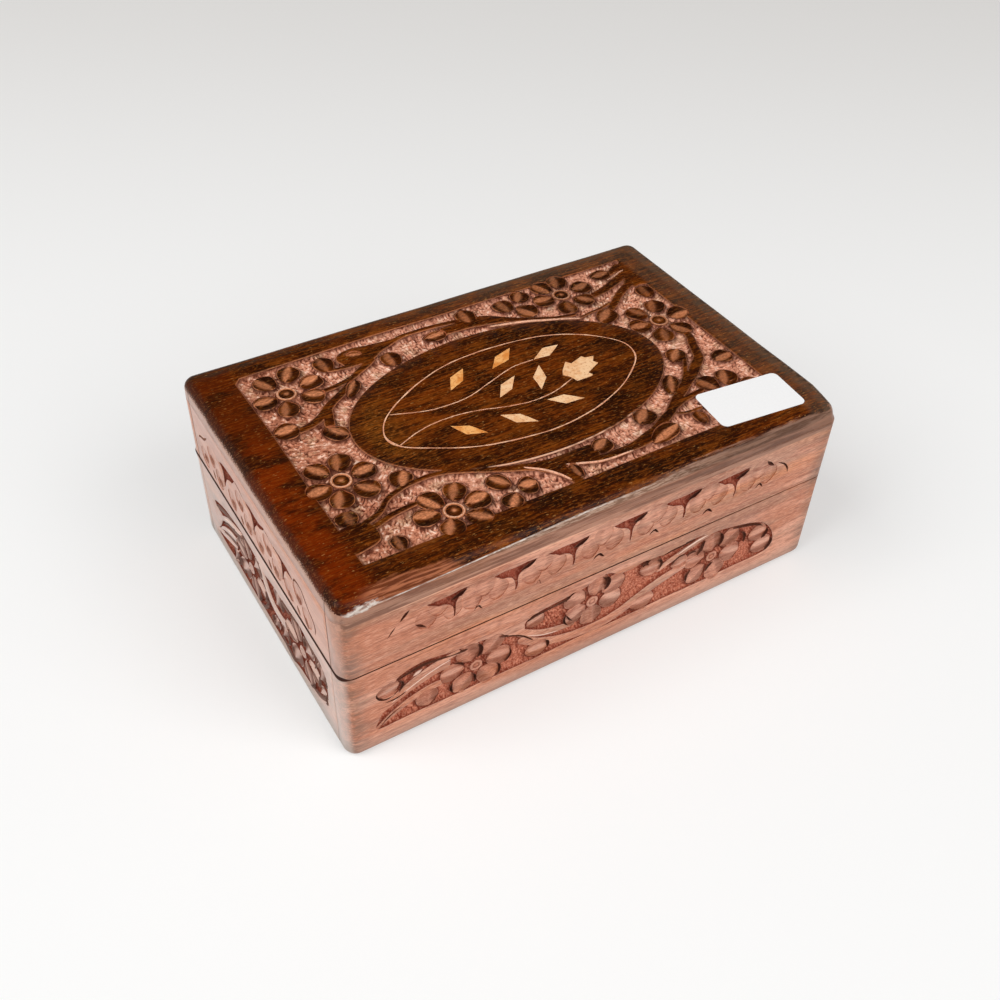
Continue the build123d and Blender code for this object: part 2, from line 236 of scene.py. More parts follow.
def inside(loop, pts):
    # for each point, whether a line from it crosses the loop an odd number of times
    low, high = loop.min(0), loop.max(0)
    hit = np.zeros(len(pts), bool)
    near = np.nonzero(((pts >= low) & (pts <= high)).all(1))[0]
    if not len(near):
        return hit
    x, y = pts[near].T
    odd = np.zeros(len(near), bool)
    for (ax, ay), (bx, by) in zip(loop, np.roll(loop, -1, 0)):
        if ay == by:
            continue
        cross = (ay > y) != (by > y)
        odd ^= cross & (x < (bx - ax) * (y - ay) / (by - ay) + ax)
    hit[near] = odd
    return hit


def distanceTo(loop, pts):
    # from each point to the nearest place on a closed line
    best = np.full(len(pts), 1e9)
    for p, q in zip(loop, np.roll(loop, -1, 0)):
        d = q - p
        t = unit(((pts - p) @ d) / max(d @ d, 1e-12))
        best = np.minimum(best, np.hypot(*(pts - p - t[:, None] * d).T))
    return best


carve = {
    "edgeDrop": 0.34,     # how far a standing shape is rounded down at its edge
    "edgeWidth": 0.42,
    "firstCut": 0.6,      # depth of the cut beside a standing shape
    "slope": 1.0,         # width over which the ground falls to its full depth
    "ripple": 0.24,       # height of the tool marks in the ground
    "pitch": 1.25,
    "patch": 9.0,         # size of a patch of tool marks with one direction
    "shift": 0.35,        # how far a patch strays from its place, as a share of its size
    "spread": 0.28,       # how far its direction strays, in radians
    "uneven": 0.75,       # how much the height changes along one mark
    "ringWidth": 1.15,    # of the ring around a button
    "spacing": 9.0,       # between the free points of the flat parts
    "crease": 0.5,        # painted shade where the ground meets a stem
    "shade": 1.7,         # how far that painted shade reaches on the side away from the light
}


class Shape:
    # a closed outline on a face. kind: "ground" is sunk, "level" stays at the height of the board,
    # "form" has a relief of its own: relief(points) gives height, raw, wear with painted highlight, and
    # painted shade;
    # soot is how much painted shade a shape throws into its hollows and round itself
    def __init__(self, loop, kind="form", relief=None, guides=(), fill=0.75, soot=0.0):
        self.loop = loop if signedArea(loop) > 0 else loop[::-1]
        self.kind, self.relief, self.guides, self.fill, self.soot = kind, relief, guides, fill, soot
        self.soft = carve["edgeDrop"]

    def edge(self, pts):
        return unit(1 - distanceTo(self.loop, pts) / carve["edgeWidth"])


def ovalLoop(cx, cy, a, b, turn, step=0.55, swell=0.0):
    n = max(14, int(math.pi * (a + b) / step))
    t = np.arange(n) / n * 2 * math.pi
    x, y = a * np.cos(t), b * np.sin(t) * (1 + swell * np.cos(t))
    c, s = math.cos(turn), math.sin(turn)
    return np.stack([cx + x * c - y * s, cy + x * s + y * c], 1)


def petal(cx, cy, length, width, turn, rng, style):
    # two gouge cuts side by side leave a ridge from the middle of the flower to the tip
    a, b = length / 2, width / 2
    loop = wobbled(ovalLoop(cx, cy, a, b, turn, swell=0.16), 0.11, rng)
    off, lean = rng.uniform(-0.14, 0.14), rng.uniform(-0.08, 0.08)
    depth = style["dish"] * rng.uniform(0.8, 1.15)
    c, s = math.cos(turn), math.sin(turn)
    bright = (0.3 + 1.3 * c * c) * rng.uniform(0.7, 1.2)   # painted highlight: the ridge facet is brighter on petals that lie along X, where it catches the light
    side = 1 if 0.5 * s + 0.85 * c > 0 else -1             # the facet toward the light
    side *= 1 if rng.random() < 0.8 else -1
    shape = Shape(loop, soot=style["soot"])

    def relief(pts):
        x, y = pts[:, 0] - cx, pts[:, 1] - cy
        along, across = (x * c + y * s) / a, (-x * s + y * c) / b
        w = np.clip(across - off - lean * along, -1.2, 1.2)
        dish = unit(1 - ((np.abs(w) - 0.5) / 0.5) ** 2)
        edge = shape.edge(pts)
        height = -style["low"] - depth * dish * (1 - 0.2 * along) - style["tip"] * (1 - along) / 2
        height = height - shape.soft * edge ** 2
        # painted highlight on the ridge facet toward the light, kept within the lens
        lens = 0.02 + 0.5 * unit(1 - (along - 0.08) ** 2)
        facet = unit(1.7 - 1.7 * np.abs(w - side * 0.2) / lens)
        ridge = np.minimum(style["worn"] * bright * facet * (1 - edge), 0.84)
        worn = np.maximum(ridge, style["rim"] * unit(1.5 * edge))
        # painted shade in the hollows and on the far side of the ridge
        shade = np.clip(-side * w - 0.05, 0, 0.8) * (1 - facet)
        dark = unit(style["hollow"] * dish + 0.7 * shade) * (1 - facet) * (1 - edge) * style["soot"]
        return height, np.full(len(pts), style["raw"]), unit(worn), dark

    shape.relief = relief
    run = np.linspace(-0.86, 0.86, 14)
    middle = np.stack([cx + run * a * c, cy + run * a * s], 1)
    shape.guides = [middle + np.array([-s, c]) * b * (off + lean * run)[:, None]]
    return shape


def bossOf(cx, cy, rng, style):
    # a cut ring around a low round button with a pricked middle; the pricked middle gets a painted highlight,
    # and the edges of ring and button painted shade
    ring, radius = style["ring"], style["ring"] - carve["ringWidth"]
    outer = Shape(wobbled(ovalLoop(cx, cy, ring, ring, 0), 0.08, rng), fill=0.45)
    inner = Shape(wobbled(ovalLoop(cx, cy, radius, radius, 0), 0.07, rng), fill=0.5)

    def ringRelief(pts):
        d = np.hypot(pts[:, 0] - cx, pts[:, 1] - cy)
        across = np.abs(d - (radius + ring) / 2) / ((ring - radius) / 2)
        return (-0.15 - 0.45 * unit(across - 0.4), 0 * d + style["raw"],
                style["ringWorn"] * unit(1.6 - across), unit(across - 0.8) * style["soot"])

    def innerRelief(pts):
        d = np.hypot(pts[:, 0] - cx, pts[:, 1] - cy) / radius
        pit = np.exp(-(d / 0.26) ** 2)
        return (-0.2 - 0.45 * d ** 3 - 0.35 * pit, 0 * d + style["raw"],
                style["worn"] * pit, unit(d - 0.45) * 1.3 * style["soot"])

    outer.relief, inner.relief = ringRelief, innerRelief
    return [outer, inner]


def flower(spots, rng, style):
    (cx, cy), *tips = spots
    shapes = []
    for x, y in tips:
        length, width = style["petal"]
        shapes.append(petal(x, y, length * rng.uniform(0.95, 1.04), width * rng.uniform(0.94, 1.05),
                            math.atan2(y - cy, x - cx), rng, style))
    return shapes + bossOf(cx, cy, rng, style)


def leaf(x, y, length, width, turn, rng, style):
    return petal(x, y, length, width, math.radians(turn), rng, style)


def strip(points, rng, wave=1.0):
    # outline of a band of changing width, blunt at its ends, from (u, v, width) along its middle
    line = smoothLine(points, 0.5)
    xy, width = line[:, :2], line[:, 2].copy()
    run = np.concatenate([[0], np.cumsum(np.hypot(*np.diff(xy, axis=0).T))])
    for end in (run, run[-1] - run):
        width *= 0.2 + 0.8 * np.sqrt(unit(end / 1.2))
    ahead = np.gradient(xy, axis=0)
    ahead /= np.hypot(*ahead.T)[:, None]
    side = np.stack([-ahead[:, 1], ahead[:, 0]], 1)
    sway = wave * sum(rng.uniform(0.02, 0.07) * np.sin(run / k + rng.uniform(0, 6.28))
                      for k in (1.3, 2.7, 5.1))
    left = xy + side * (width / 2 + sway)[:, None]
    right = xy - side * (width / 2 - 0.6 * sway)[:, None]
    return np.vstack([left, right[::-1]]), xy, width


def stem(points, rng):
    return Shape(strip(points, rng)[0], "level")


def solid(points, rng):
    return Shape(wobbled(smoothLoop(points, 0.6), 0.08, rng), "level")


def cutLine(points, rng, depth=0.5, worn=1.0, dark=0.0):
    # a V cut with the corner of a chisel; its dark amount is painted shade in the cut
    loop, middle, _ = strip(points, rng, wave=0.5)
    shape = Shape(loop, guides=[middle[1:-1]], fill=0)

    def relief(pts):
        d = distanceTo(loop, pts)
        return -0.03 - depth * unit(d / 0.4), 0 * d, worn * np.ones(len(d)), dark * np.ones(len(d))

    shape.relief = relief
    return shape


def rippledPoints(shape, rng):
    # points on the crests and in the troughs of the tool marks, patch by patch
    low, high = shape.loop.min(0) - 1, shape.loop.max(0) + 1
    size, pitch, shift, spread = (carve[k] for k in ("patch", "pitch", "shift", "spread"))
    seeds = np.array([(x + rng.uniform(-shift, shift) * size, y + rng.uniform(-shift, shift) * size)
                      for x in np.arange(low[0], high[0] + size, size)
                      for y in np.arange(low[1], high[1] + size, size)])
    found, waves = [], []
    for i, seed in enumerate(seeds):
        turn = shape.strokes(*seed) + rng.uniform(-spread, spread)
        ahead = np.array([math.cos(turn), math.sin(turn)])
        side = np.array([-ahead[1], ahead[0]])
        reach = size * 1.1
        rows = np.arange(-reach, reach, pitch / 2 * rng.uniform(0.9, 1.15))
        cols = np.arange(-reach, reach, 1.0)
        r, c = np.meshgrid(rows, cols, indexing="ij")
        wave = np.where(np.arange(len(rows)) % 2, 1.0, -1.0)[:, None] * rng.uniform(0.3, 1.3)
        wave = wave * (1 + carve["uneven"] * rng.standard_normal(r.shape))
        r = r + 0.14 * rng.standard_normal(r.shape)
        c = c + 0.3 * rng.standard_normal(r.shape)
        pts = (seed + r[..., None] * side + c[..., None] * ahead).reshape(-1, 2)
        near = ((pts[:, None, :] - seeds[None]) ** 2).sum(2).argmin(1) == i
        found.append(pts[near])
        waves.append(wave.reshape(-1)[near])
    return np.vstack(found), np.concatenate(waves)


def evenPoints(loop, spacing, rng):
    # a grid of even triangles over the loop, a little shaken
    low, high = loop.min(0), loop.max(0)
    grid = [(x + (j % 2) * spacing / 2, y)
            for j, y in enumerate(np.arange(low[1], high[1], spacing * 0.87))
            for x in np.arange(low[0], high[0], spacing)]
    grid = np.array(grid).reshape(-1, 2)
    return grid + rng.uniform(-0.12, 0.12, grid.shape) * spacing


def treeOf(pts):
    # finds the nearest of the given points
    tree = kdtree.KDTree(len(pts))
    for i, p in enumerate(pts):
        tree.insert((p[0], p[1], 0), i)
    tree.balance()
    return tree


def carvedFace(outline, shapes, seed, sink, lit):
    # one triangle mesh for a whole carved face, with a wall wherever two heights meet
    rng = np.random.default_rng(seed)
    lines = [outline] + [s.loop for s in shapes]
    borders = np.vstack(lines)
    edges, first = [], 0
    for line in lines:
        edges += [(first + i, first + (i + 1) % len(line)) for i in range(len(line))]
        first += len(line)
    tree = treeOf(borders)
    points, waves = [borders], [np.zeros(len(borders))]

    def topShape(pts):
        owner = np.full(len(pts), -1)
        for i, shape in enumerate(shapes):
            owner[inside(shape.loop, pts)] = -1 if shape.kind == "level" else i
        return owner

    def addFree(pts, owner, gap, wave=None):
        if not len(pts):
            return
        keep = topShape(pts) == owner
        keep &= inside(outline, pts)
        keep[keep] = [tree.find((p[0], p[1], 0))[2] > gap for p in pts[keep]]
        points.append(pts[keep])
        waves.append(np.zeros(keep.sum()) if wave is None else wave[keep])

    for i, shape in enumerate(shapes):
        if shape.kind == "ground":
            pts, wave = rippledPoints(shape, rng)
            addFree(pts, i, 0.34, wave)
            addFree(inset(shape.loop, -carve["edgeWidth"]), -1, 0.3)
        elif shape.kind == "level":
            addFree(inset(shape.loop, carve["edgeWidth"]), -1, 0.3)
        else:
            addFree(inset(shape.loop, carve["edgeWidth"]), i, 0.3)
            for guide in shape.guides:
                addFree(guide, i, 0.25)
            if shape.fill:
                addFree(evenPoints(shape.loop, shape.fill, rng), i, 0.5)
    addFree(evenPoints(outline, carve["spacing"], rng), -1, 1.0)
    points, waves = np.vstack(points), np.concatenate(waves)

    flat, _, tris, origin, _, _ = delaunay_2d_cdt([Vector(p) for p in points], edges, [], 0, 1e-5, True)
    flat = np.array([(p.x, p.y) for p in flat])
    wave = np.array([waves[o[0]] if len(o) else 0.0 for o in origin])
    tris = np.array([t for t in tris if len(t) == 3])
    a, b, c = (flat[tris[:, k]] for k in range(3))
    (bx, by), (cx, cy) = (b - a).T, (c - a).T
    area = 0.5 * (bx * cy - cx * by)
    tris[area < 0] = tris[area < 0][:, ::-1]
    tris = tris[np.abs(area) > 1e-8]
    tris = tris[inside(outline, flat[tris].mean(1))]
    owner = topShape(flat[tris].mean(1))
    isGround = np.array([s.kind == "ground" for s in shapes] + [False])
    groundId = int(np.argmax(isGround)) if isGround.any() else -2   # all the ground counts as one region
    owner[isGround[owner]] = groundId

    def distances(pts, to):
        if not len(to):
            return np.full(len(pts), 9.0), np.zeros(len(pts), int)
        near = treeOf(flat[to])
        hits = [near.find((p[0], p[1], 0)) for p in pts]
        return np.array([h[2] for h in hits]), np.array([h[1] for h in hits])

    rim = np.intersect1d(np.unique(tris[owner == groundId]), np.unique(tris[owner != groundId]))
    soot = np.zeros(len(flat))
    for i, shape in enumerate(shapes):
        if shape.kind == "form" and shape.soot:
            soot[np.unique(tris[owner == i])] = shape.soot

    copies, places, woodAndShadeTones = {}, [], []
    for region in np.unique(owner):
        used = np.unique(tris[owner == region])
        pts = flat[used]
        raw = worn = dark = np.zeros(len(pts))
        if region == groundId:
            d, at = distances(pts, rim)
            fall = unit(d / carve["slope"])
            fall = fall * fall * (3 - 2 * fall)
            ripple = wave[used]
            height = -carve["firstCut"] - (sink - carve["firstCut"] - carve["ripple"]) * fall
            height = height + carve["ripple"] * ripple * fall
            raw = np.ones(len(pts))
            # painted highlight on the crests of the tool marks; their troughs turn dark as painted shade
            worn = unit(0.5 + 0.5 * ripple) * fall
            # painted shade on the ground beside the rim, reaching further on the side away from the light
            facing = 0.5 + 0.5 * ((flat[rim[at]] - pts) @ np.array(lit)) / np.maximum(d, 1e-6)
            dark = unit(1 - d / (0.7 + carve["shade"] * facing ** 2)) ** 1.5 * (0.45 + 0.65 * facing)
            dark = dark * (carve["crease"] + (1 - carve["crease"]) * soot[rim[at]])
        elif region < 0:
            d, _ = distances(pts, rim)
            x = unit(1 - d / carve["edgeWidth"])
            height = -carve["edgeDrop"] * x ** 2
            # the rounded rim of a flat part is painted pale, as wear with a painted highlight
            worn = 0.5 * x
        else:
            height, raw, worn, dark = shapes[region].relief(pts)
        for i, v in enumerate(used):
            copies[(int(v), int(region))] = len(places)
            places.append((pts[i][0], pts[i][1], height[i]))
            woodAndShadeTones.append((raw[i], worn[i], dark[i], 1.0))

    faces = [tuple(copies[(int(v), int(r))] for v in t) for t, r in zip(tris, owner)]
    sides = {}
    for k, t in enumerate(tris):
        for p, q in ((t[0], t[1]), (t[1], t[2]), (t[2], t[0])):
            sides.setdefault((min(p, q), max(p, q)), []).append((k, int(p), int(q)))
    atPoint = {}
    for (v, _), i in copies.items():
        atPoint.setdefault(v, []).append(i)

    def between(v, a, b):
        # corners of other heights on the way from one height to another, so that walls share their edges
        z = lambda i: places[i][2]
        apart = 0.0021   # closer corners become one
        low, high = sorted((z(a), z(b)))
        found = [i for i in atPoint[v] if low + apart < z(i) < high - apart]
        found.sort(key=z, reverse=bool(z(a) > z(b)))
        return [i for j, i in enumerate(found) if not j or abs(z(i) - z(found[j - 1])) > apart]

    for pair in sides.values():
        if len(pair) != 2 or owner[pair[0][0]] == owner[pair[1][0]]:
            continue
        (k, p, q), (m, _, _) = pair
        r, s = int(owner[k]), int(owner[m])
        a, b, c, d = copies[(q, r)], copies[(p, r)], copies[(p, s)], copies[(q, s)]
        if max(abs(places[a][2] - places[d][2]), abs(places[b][2] - places[c][2])) > 1e-4:
            faces.append((a, b, *between(p, b, c), c, d, *between(q, d, a)))
    return places, faces, woodAndShadeTones


def clearSelection():
    if bpy.context.object and bpy.context.object.mode == "EDIT":
        bpy.ops.object.mode_set(mode="OBJECT")
    bpy.ops.object.select_all(action="DESELECT")


def editing(piece):
    choose(piece)
    bpy.ops.object.mode_set(mode="EDIT")
    bpy.ops.mesh.select_mode(type="EDGE")
    bpy.ops.mesh.select_all(action="DESELECT")
    return bmesh.from_edit_mesh(piece.data)


def bevelEdges(piece, test, offset, segments=1):
    bm = editing(piece)
    for e in bm.edges:
        if len(e.link_faces) == 2 and test(e):
            e.select_set(True)
    bmesh.update_edit_mesh(piece.data)
    bpy.ops.mesh.bevel(offset=offset * mm, segments=segments, affect="EDGES", clamp_overlap=False)
    bpy.ops.object.mode_set(mode="OBJECT")


def cutAcross(piece, axis, places):
    # extra lengthwise cuts, so that an edge can wander
    for place in places:
        editing(piece)
        bpy.ops.mesh.select_all(action="SELECT")
        point, normal = [0, 0, 0], [0, 0, 0]
        point[axis], normal[axis] = place * mm, 1
        bpy.ops.mesh.bisect(plane_co=point, plane_no=normal)
    bpy.ops.object.mode_set(mode="OBJECT")


def blank(name, low, high):
    clearSelection()
    bpy.ops.mesh.primitive_cube_add(size=1, location=(low + high) / 2)
    board = bpy.context.object
    board.name = board.data.name = name
    board.scale = high - low
    bpy.ops.object.transform_apply(location=True, rotation=False, scale=True)
    return board


def both(e, test):
    return all(test(v.co / mm) for v in e.verts)


def near(a, b):
    return abs(a - b) < 0.02


def upright(e):
    d = e.verts[0].co - e.verts[1].co
    return abs(d.z) > 10 * (abs(d.x) + abs(d.y))


def sharp(e):
    return e.calc_face_angle(0) > math.radians(50)


# middle of each carved face, its directions right and up, and the direction it faces
faceOf = {
    "top": ((0, 0, form["top"]), (1, 0, 0), (0, 1, 0), (0, 0, 1)),
    "front": ((0, -form["halfDepth"], 0), (1, 0, 0), (0, 0, 1), (0, -1, 0)),
    "back": ((0, form["halfDepth"], 0), (-1, 0, 0), (0, 0, 1), (0, 1, 0)),
    "left": ((-form["halfLength"], 0, 0), (0, -1, 0), (0, 0, 1), (-1, 0, 0)),
    "right": ((form["halfLength"], 0, 0), (0, 1, 0), (0, 0, 1), (1, 0, 0)),
}


def carveBoard(board, side, shapes, seed, sink, lit=(-0.3, 0.95), drop=0.0):
    # the flat outer face comes off and the carved one takes its place, edge to edge
    origin, u, v, n = (Vector(w) for w in faceOf[side])
    bm = bmesh.new()
    bm.from_mesh(board.data)
    flat = [f for f in bm.faces if f.normal.dot(n) > 0.999
            and abs((f.calc_center_median() / mm - origin).dot(n)) < 0.01]
    bmesh.ops.delete(bm, geom=flat, context="FACES")
    rim = [e for e in bm.edges if len(e.link_faces) == 1]
    loop, edge = [rim[0].verts[0]], rim[0]
    while True:
        other = edge.other_vert(loop[-1])
        if other is loop[0]:
            break
        loop.append(other)
        edge = next(e for e in other.link_edges if len(e.link_faces) == 1 and e is not edge)
    outline = np.array([((w.co / mm - origin).dot(u), (w.co / mm - origin).dot(v)) for w in loop])
    if signedArea(outline) < 0:
        outline = outline[::-1]
    outline[:, 1] += drop
    places, faces, woodAndShadeTones = carvedFace(outline, shapes, seed, sink, lit)
    # the finish attribute holds raw wood, wear with painted highlight, and painted shade
    layer = bm.verts.layers.float_color.new("finish")
    for w in bm.verts:
        w[layer] = (0, 0, 0, 1)
    made = []
    for (x, y, h), colour in zip(places, woodAndShadeTones):
        w = bm.verts.new((origin + u * x + v * (y - drop) + n * h) * mm)
        w[layer] = colour
        made.append(w)
    for f in faces:
        bm.faces.new([made[i] for i in f])
    bmesh.ops.remove_doubles(bm, verts=bm.verts, dist=2e-6)
    bmesh.ops.holes_fill(bm, edges=[e for e in bm.edges if e.is_boundary], sides=4)
    loose = [w for w in bm.verts if not w.link_faces]
    bmesh.ops.delete(bm, geom=loose, context="VERTS")
    bm.to_mesh(board.data)
    openEdges = sum(len(e.link_faces) != 2 for e in bm.edges)
    print("  ", board.name, len(bm.faces), "faces,", openEdges, "open edges")
    bm.free()


def choose(piece):
    clearSelection()
    bpy.context.view_layer.objects.active = piece
    piece.select_set(True)


def smooth(piece):
    choose(piece)
    bpy.ops.object.shade_smooth_by_angle(angle=math.radians(48))


def finishBoard(board, body, material, slotName, *nodes):
    smooth(board)
    board.data.materials.clear()
    board.data.materials.append(material)
    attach(board, body)
    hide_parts(*nodes)


lidCarving = {
    "sink": 1.9,
    "field": [(-90.4, -56.2), (-60, -56.5), (-30, -56.1), (0, -56.6), (40, -56.2), (70, -56.5), (91.4, -56.3),
              (91.9, -30), (91.5, 0), (92, 20), (91.8, 36.4), (88.8, 37.4), (86.3, 36.7), (84.6, 38.8),
              (83.4, 41.8), (85.6, 44.2), (86.6, 47), (88.4, 49.9), (85.3, 50.6), (87.6, 53.8), (91.6, 57),
              (91.4, 58.5), (60, 58.2), (30, 58.6), (0, 58.2), (-30, 58.4), (-60, 57.6), (-88, 57),
              (-90.6, 54), (-90.2, 20), (-90.6, -20)],
    "medallion": (0.6, 0.0, 66.8, 39.5),
    "flowers": [
        [(-76, 39.6), (-80.5, 49.5), (-70.5, 50.8), (-64.8, 42.3), (-67.5, 34), (-78.8, 31), (-84.8, 38.3)],
        [(-79.1, -15.3), (-84.5, -7), (-75.3, -6), (-70, -14), (-73, -23), (-82.8, -23.8), (-88, -16.8)],
        [(-52.3, -48), (-56.8, -39.8), (-47.3, -39.5), (-42.5, -47), (-46, -54.5), (-56.3, -54.5),
         (-61.8, -46.3)],
        [(54.1, 47), (49.5, 55.5), (58, 56.5), (65, 48.3), (61, 39.5), (51.3, 38), (45.5, 47)],
        [(79.5, 11), (70.5, 11.5), (74.3, 19.5), (84.5, 20.5), (90, 12), (84.5, 2.5), (75, 2)],
        [(74.5, -43.5), (70, -33.5), (79, -34), (84.5, -42), (79, -52), (69, -52), (64.5, -43)],
    ],
    "petals": {"petal": (9.9, 8.9), "dish": 0.62, "low": 0.15, "tip": 0.25, "worn": 1.0, "ring": 4.0,
               "soot": 1.0, "rim": 0.85, "ringWorn": 1.0, "raw": 0.0, "hollow": 0.25},
    # middle, length, width, turn of the ridge
    "leaves": [(-55.8, 50, 10, 8.5, 90), (-43, 50.4, 7.6, 4.8, -22), (-85, 19, 10, 9.6, 0),
               (-69.5, 9.7, 10.5, 8.5, -55), (-52.5, 30.5, 11.4, 5.5, 52), (-30.8, 40.5, 10, 8.5, 90),
               (-85.8, -34, 8, 8.3, 90), (-60.5, -24.5, 9, 8.8, 60), (-75.5, -52.5, 7.2, 6, 90),
               (-31.5, -43, 9.6, 8, 130), (-23.3, -49.3, 7.6, 9, -10), (-31.8, -53.3, 8.3, 8.3, 230),
               (10, 52.2, 10.4, 8.8, 90), (-8.2, 46.2, 10.4, 6.8, 0), (27.7, 51.3, 9.3, 9.3, 100),
               (37.5, 54.2, 8.6, 8.8, 60), (34.7, 44, 9.8, 9.8, -60), (11.7, -44.4, 9.2, 8, 25),
               (35.5, -38.3, 9.6, 9.6, 40), (36.5, -49.8, 15, 8.2, 18), (-4, -51.2, 8, 5, 90),
               (78, 52.3, 9.6, 7.4, 0), (62.2, 24.3, 11, 9.2, 40), (88, 32, 9, 8.4, 90),
               (70.2, -12.5, 9.4, 8.4, 45), (86.5, -21.7, 9, 8.4, 0), (56.6, -27, 12.4, 6.8, 55),
               (54.2, -49, 7.8, 5.6, 90)],
    # along the middle: place and width
    "stems": [
        [(-64, 34, 1.8), (-62, 34.3, 2.5), (-56.5, 35, 2.5), (-50, 36.8, 2.7), (-46, 39, 2.9),
         (-42, 41.4, 3.4), (-37, 45, 4)],
        [(-56.5, 45, 1.4), (-50, 44.3, 2), (-45, 43.8, 2.2)],
        [(-5, 47, 5), (3, 47.1, 5.6), (9, 47, 6.4), (14, 46.3, 7), (18, 44.8, 6), (22, 42.8, 4.5),
         (26, 40.8, 3.2), (30, 38.7, 2.6), (37.5, 35.2, 2.3), (45, 32.6, 2), (51.5, 31.3, 1.9)],
        [(-50, 35, 3), (-57, 30, 3.4), (-62, 27, 3.6), (-66, 24, 4), (-70, 20.5, 3.8), (-76, 17.5, 3.4),
         (-82, 16.5, 3)],
        [(-65.5, 25, 3.6), (-68, 19, 4), (-70, 13, 4)],
        [(-82.5, -39.3, 2.8), (-75, -36.5, 2.4), (-70, -32.2, 2.3), (-65, -30, 2.3), (-60, -28.7, 2.3),
         (-52, -28.3, 2.3), (-45, -29.5, 2.3), (-38, -32.5, 2.4), (-33, -35, 2.6), (-25, -38.6, 3.2),
         (-20, -40.6, 3.8), (-15, -42.4, 4.6), (-10, -43.8, 5.6), (-5, -45, 6.8), (2, -45.3, 7.6),
         (9, -45, 7.2)],
        [(-88.5, -46.4, 2.2), (-82, -43, 2.6), (-75, -40.5, 2.5), (-68, -39, 2.5), (-60.5, -38.5, 2)],
        [(-15.5, -43, 4.5), (-11.5, -46, 5), (-8.5, -49, 5), (-7, -53, 4.8), (-6.4, -58, 4.6)],
        [(-5, -46, 3), (0, -47.8, 3.4), (5, -49.8, 3.6), (10, -50.7, 3.8), (16, -50.6, 3.9), (21, -50.6, 4),
         (26, -50, 5), (31, -48.5, 5.4), (36, -46.5, 4.8), (41, -43.5, 4.2), (46, -41, 3.6), (50, -38, 3.5)],
        [(45, -41.4, 3.4), (48.5, -38.7, 3.5), (53, -35.5, 3.8), (58, -32.5, 4.2), (63, -29, 4.4),
         (68, -26, 4.5), (73, -22, 4.4), (77.5, -18, 4.2), (79.3, -14, 4), (81, -10, 3.8), (83, -6, 3.5),
         (84, -1, 3.2)],
        [(73, -15, 1.7), (69, -20, 1.9), (66, -24, 1.9), (61, -29, 2)],
        [(44, -42, 2.6), (52, -38.5, 2.6), (58, -37, 2.6), (66, -35.8, 2.3)],
        [(47, -43, 1.3), (52, -44.4, 1.4), (58.5, -44.5, 1.3)],
        [(90, 55.6, 3.2), (86, 53, 3.2), (83, 51.4, 3), (79.5, 50.6, 2.6)],
        [(90, 48, 4.4), (86, 46.6, 4.5), (80, 44.1, 4.3), (75, 42.1, 4), (70, 40.6, 3.8), (64.5, 39.5, 3.2)],
        [(90, 42, 4), (85, 40, 3.9), (80, 37.4, 3.6), (75, 34, 3.5), (70, 30, 3.4), (65.5, 27, 3)],
        [(51.5, 28.4, 1.2), (57, 29.4, 1.3), (62, 30.1, 1.4), (69, 31.4, 1.5)],
    ],
    "solids": [
        [(-48, 43.4), (-41, 42.9), (-37, 43.6), (-32, 46.8), (-28, 48.4), (-20, 51.2), (-12, 51.4), (-5, 51),
         (0, 50.3), (5.4, 49.8), (6.6, 51.8), (0, 52.9), (-5, 53.4), (-12, 53.7), (-20, 53.6), (-25, 52.7),
         (-35, 53.4), (-42, 54.6), (-48, 53.3), (-50.4, 50), (-49.6, 46.5)],
        [(-92, -38.6), (-82, -38), (-79.4, -42), (-80, -48), (-86, -50.4), (-92, -50)],
    ],
    # light lines cut beside the stems: place and width
    "cuts": [
        [(14.5, 40.7, 0.8), (22, 38.9, 1.2), (30, 36.6, 1.3), (38, 33.4, 1.2), (45, 30.6, 1.1),
         (51, 27.6, 0.8)],
        [(-6, -46.9, 0.6), (-3, -48.2, 0.9), (1, -49.9, 0.9), (6, -51.7, 0.9), (12, -52.4, 0.8),
         (20, -52.5, 0.6)],
        [(78, 46.7, 0.6), (82, 47.6, 0.9), (86, 49.3, 0.9), (89.4, 50.4, 0.6)],
        [(-20, -41, 0.7), (-15, -45, 1), (-11, -50, 1), (-8.6, -55, 0.7)],
    ],
}


def aroundMedallion(x, y):
    cx, cy, a, b = lidCarving["medallion"]
    return math.atan2((y - cy) / b ** 2, (x - cx) / a ** 2)


def lidShapes(d, rng):
    ground = Shape(wobbled(denseLoop(d["field"], 0.9), 0.1, rng), "ground")
    ground.strokes = aroundMedallion
    cx, cy, a, b = d["medallion"]
    shapes = [ground, Shape(wobbled(ovalLoop(cx, cy, a, b, 0, step=0.7), 0.12, rng), "level")]
    shapes += [solid(points, rng) for points in d["solids"]]
    shapes += [stem(points, rng) for points in d["stems"]]
    shapes += [cutLine(points, rng) for points in d["cuts"]]
    shapes += [leaf(*spot, rng, d["petals"]) for spot in d["leaves"]]
    for spots in d["flowers"]:
        shapes += flower(spots, rng, d["petals"])
    return shapes


def denseLoop(points, step):
    out = []
    for (ax, ay), (bx, by) in zip(points, points[1:] + points[:1]):
        n = max(1, round(math.dist((ax, ay), (bx, by)) / step))
        out += [(ax + (bx - ax) * k / n, ay + (by - ay) * k / n) for k in range(n)]
    return np.array(out)


topForm = {
    "cornerR": 5.0,
    "edgeR": 4.0,
    "joint": 0.12,
    "cuts": (range(-99, 100, 6), range(-60, 61, 6)),
    "sanding": 0.22,
    "rim": (102, 64),         # only the edge outside this is sanded
    "knock": (16.5, 2.3),     # reach and depth of the knocked corner
}


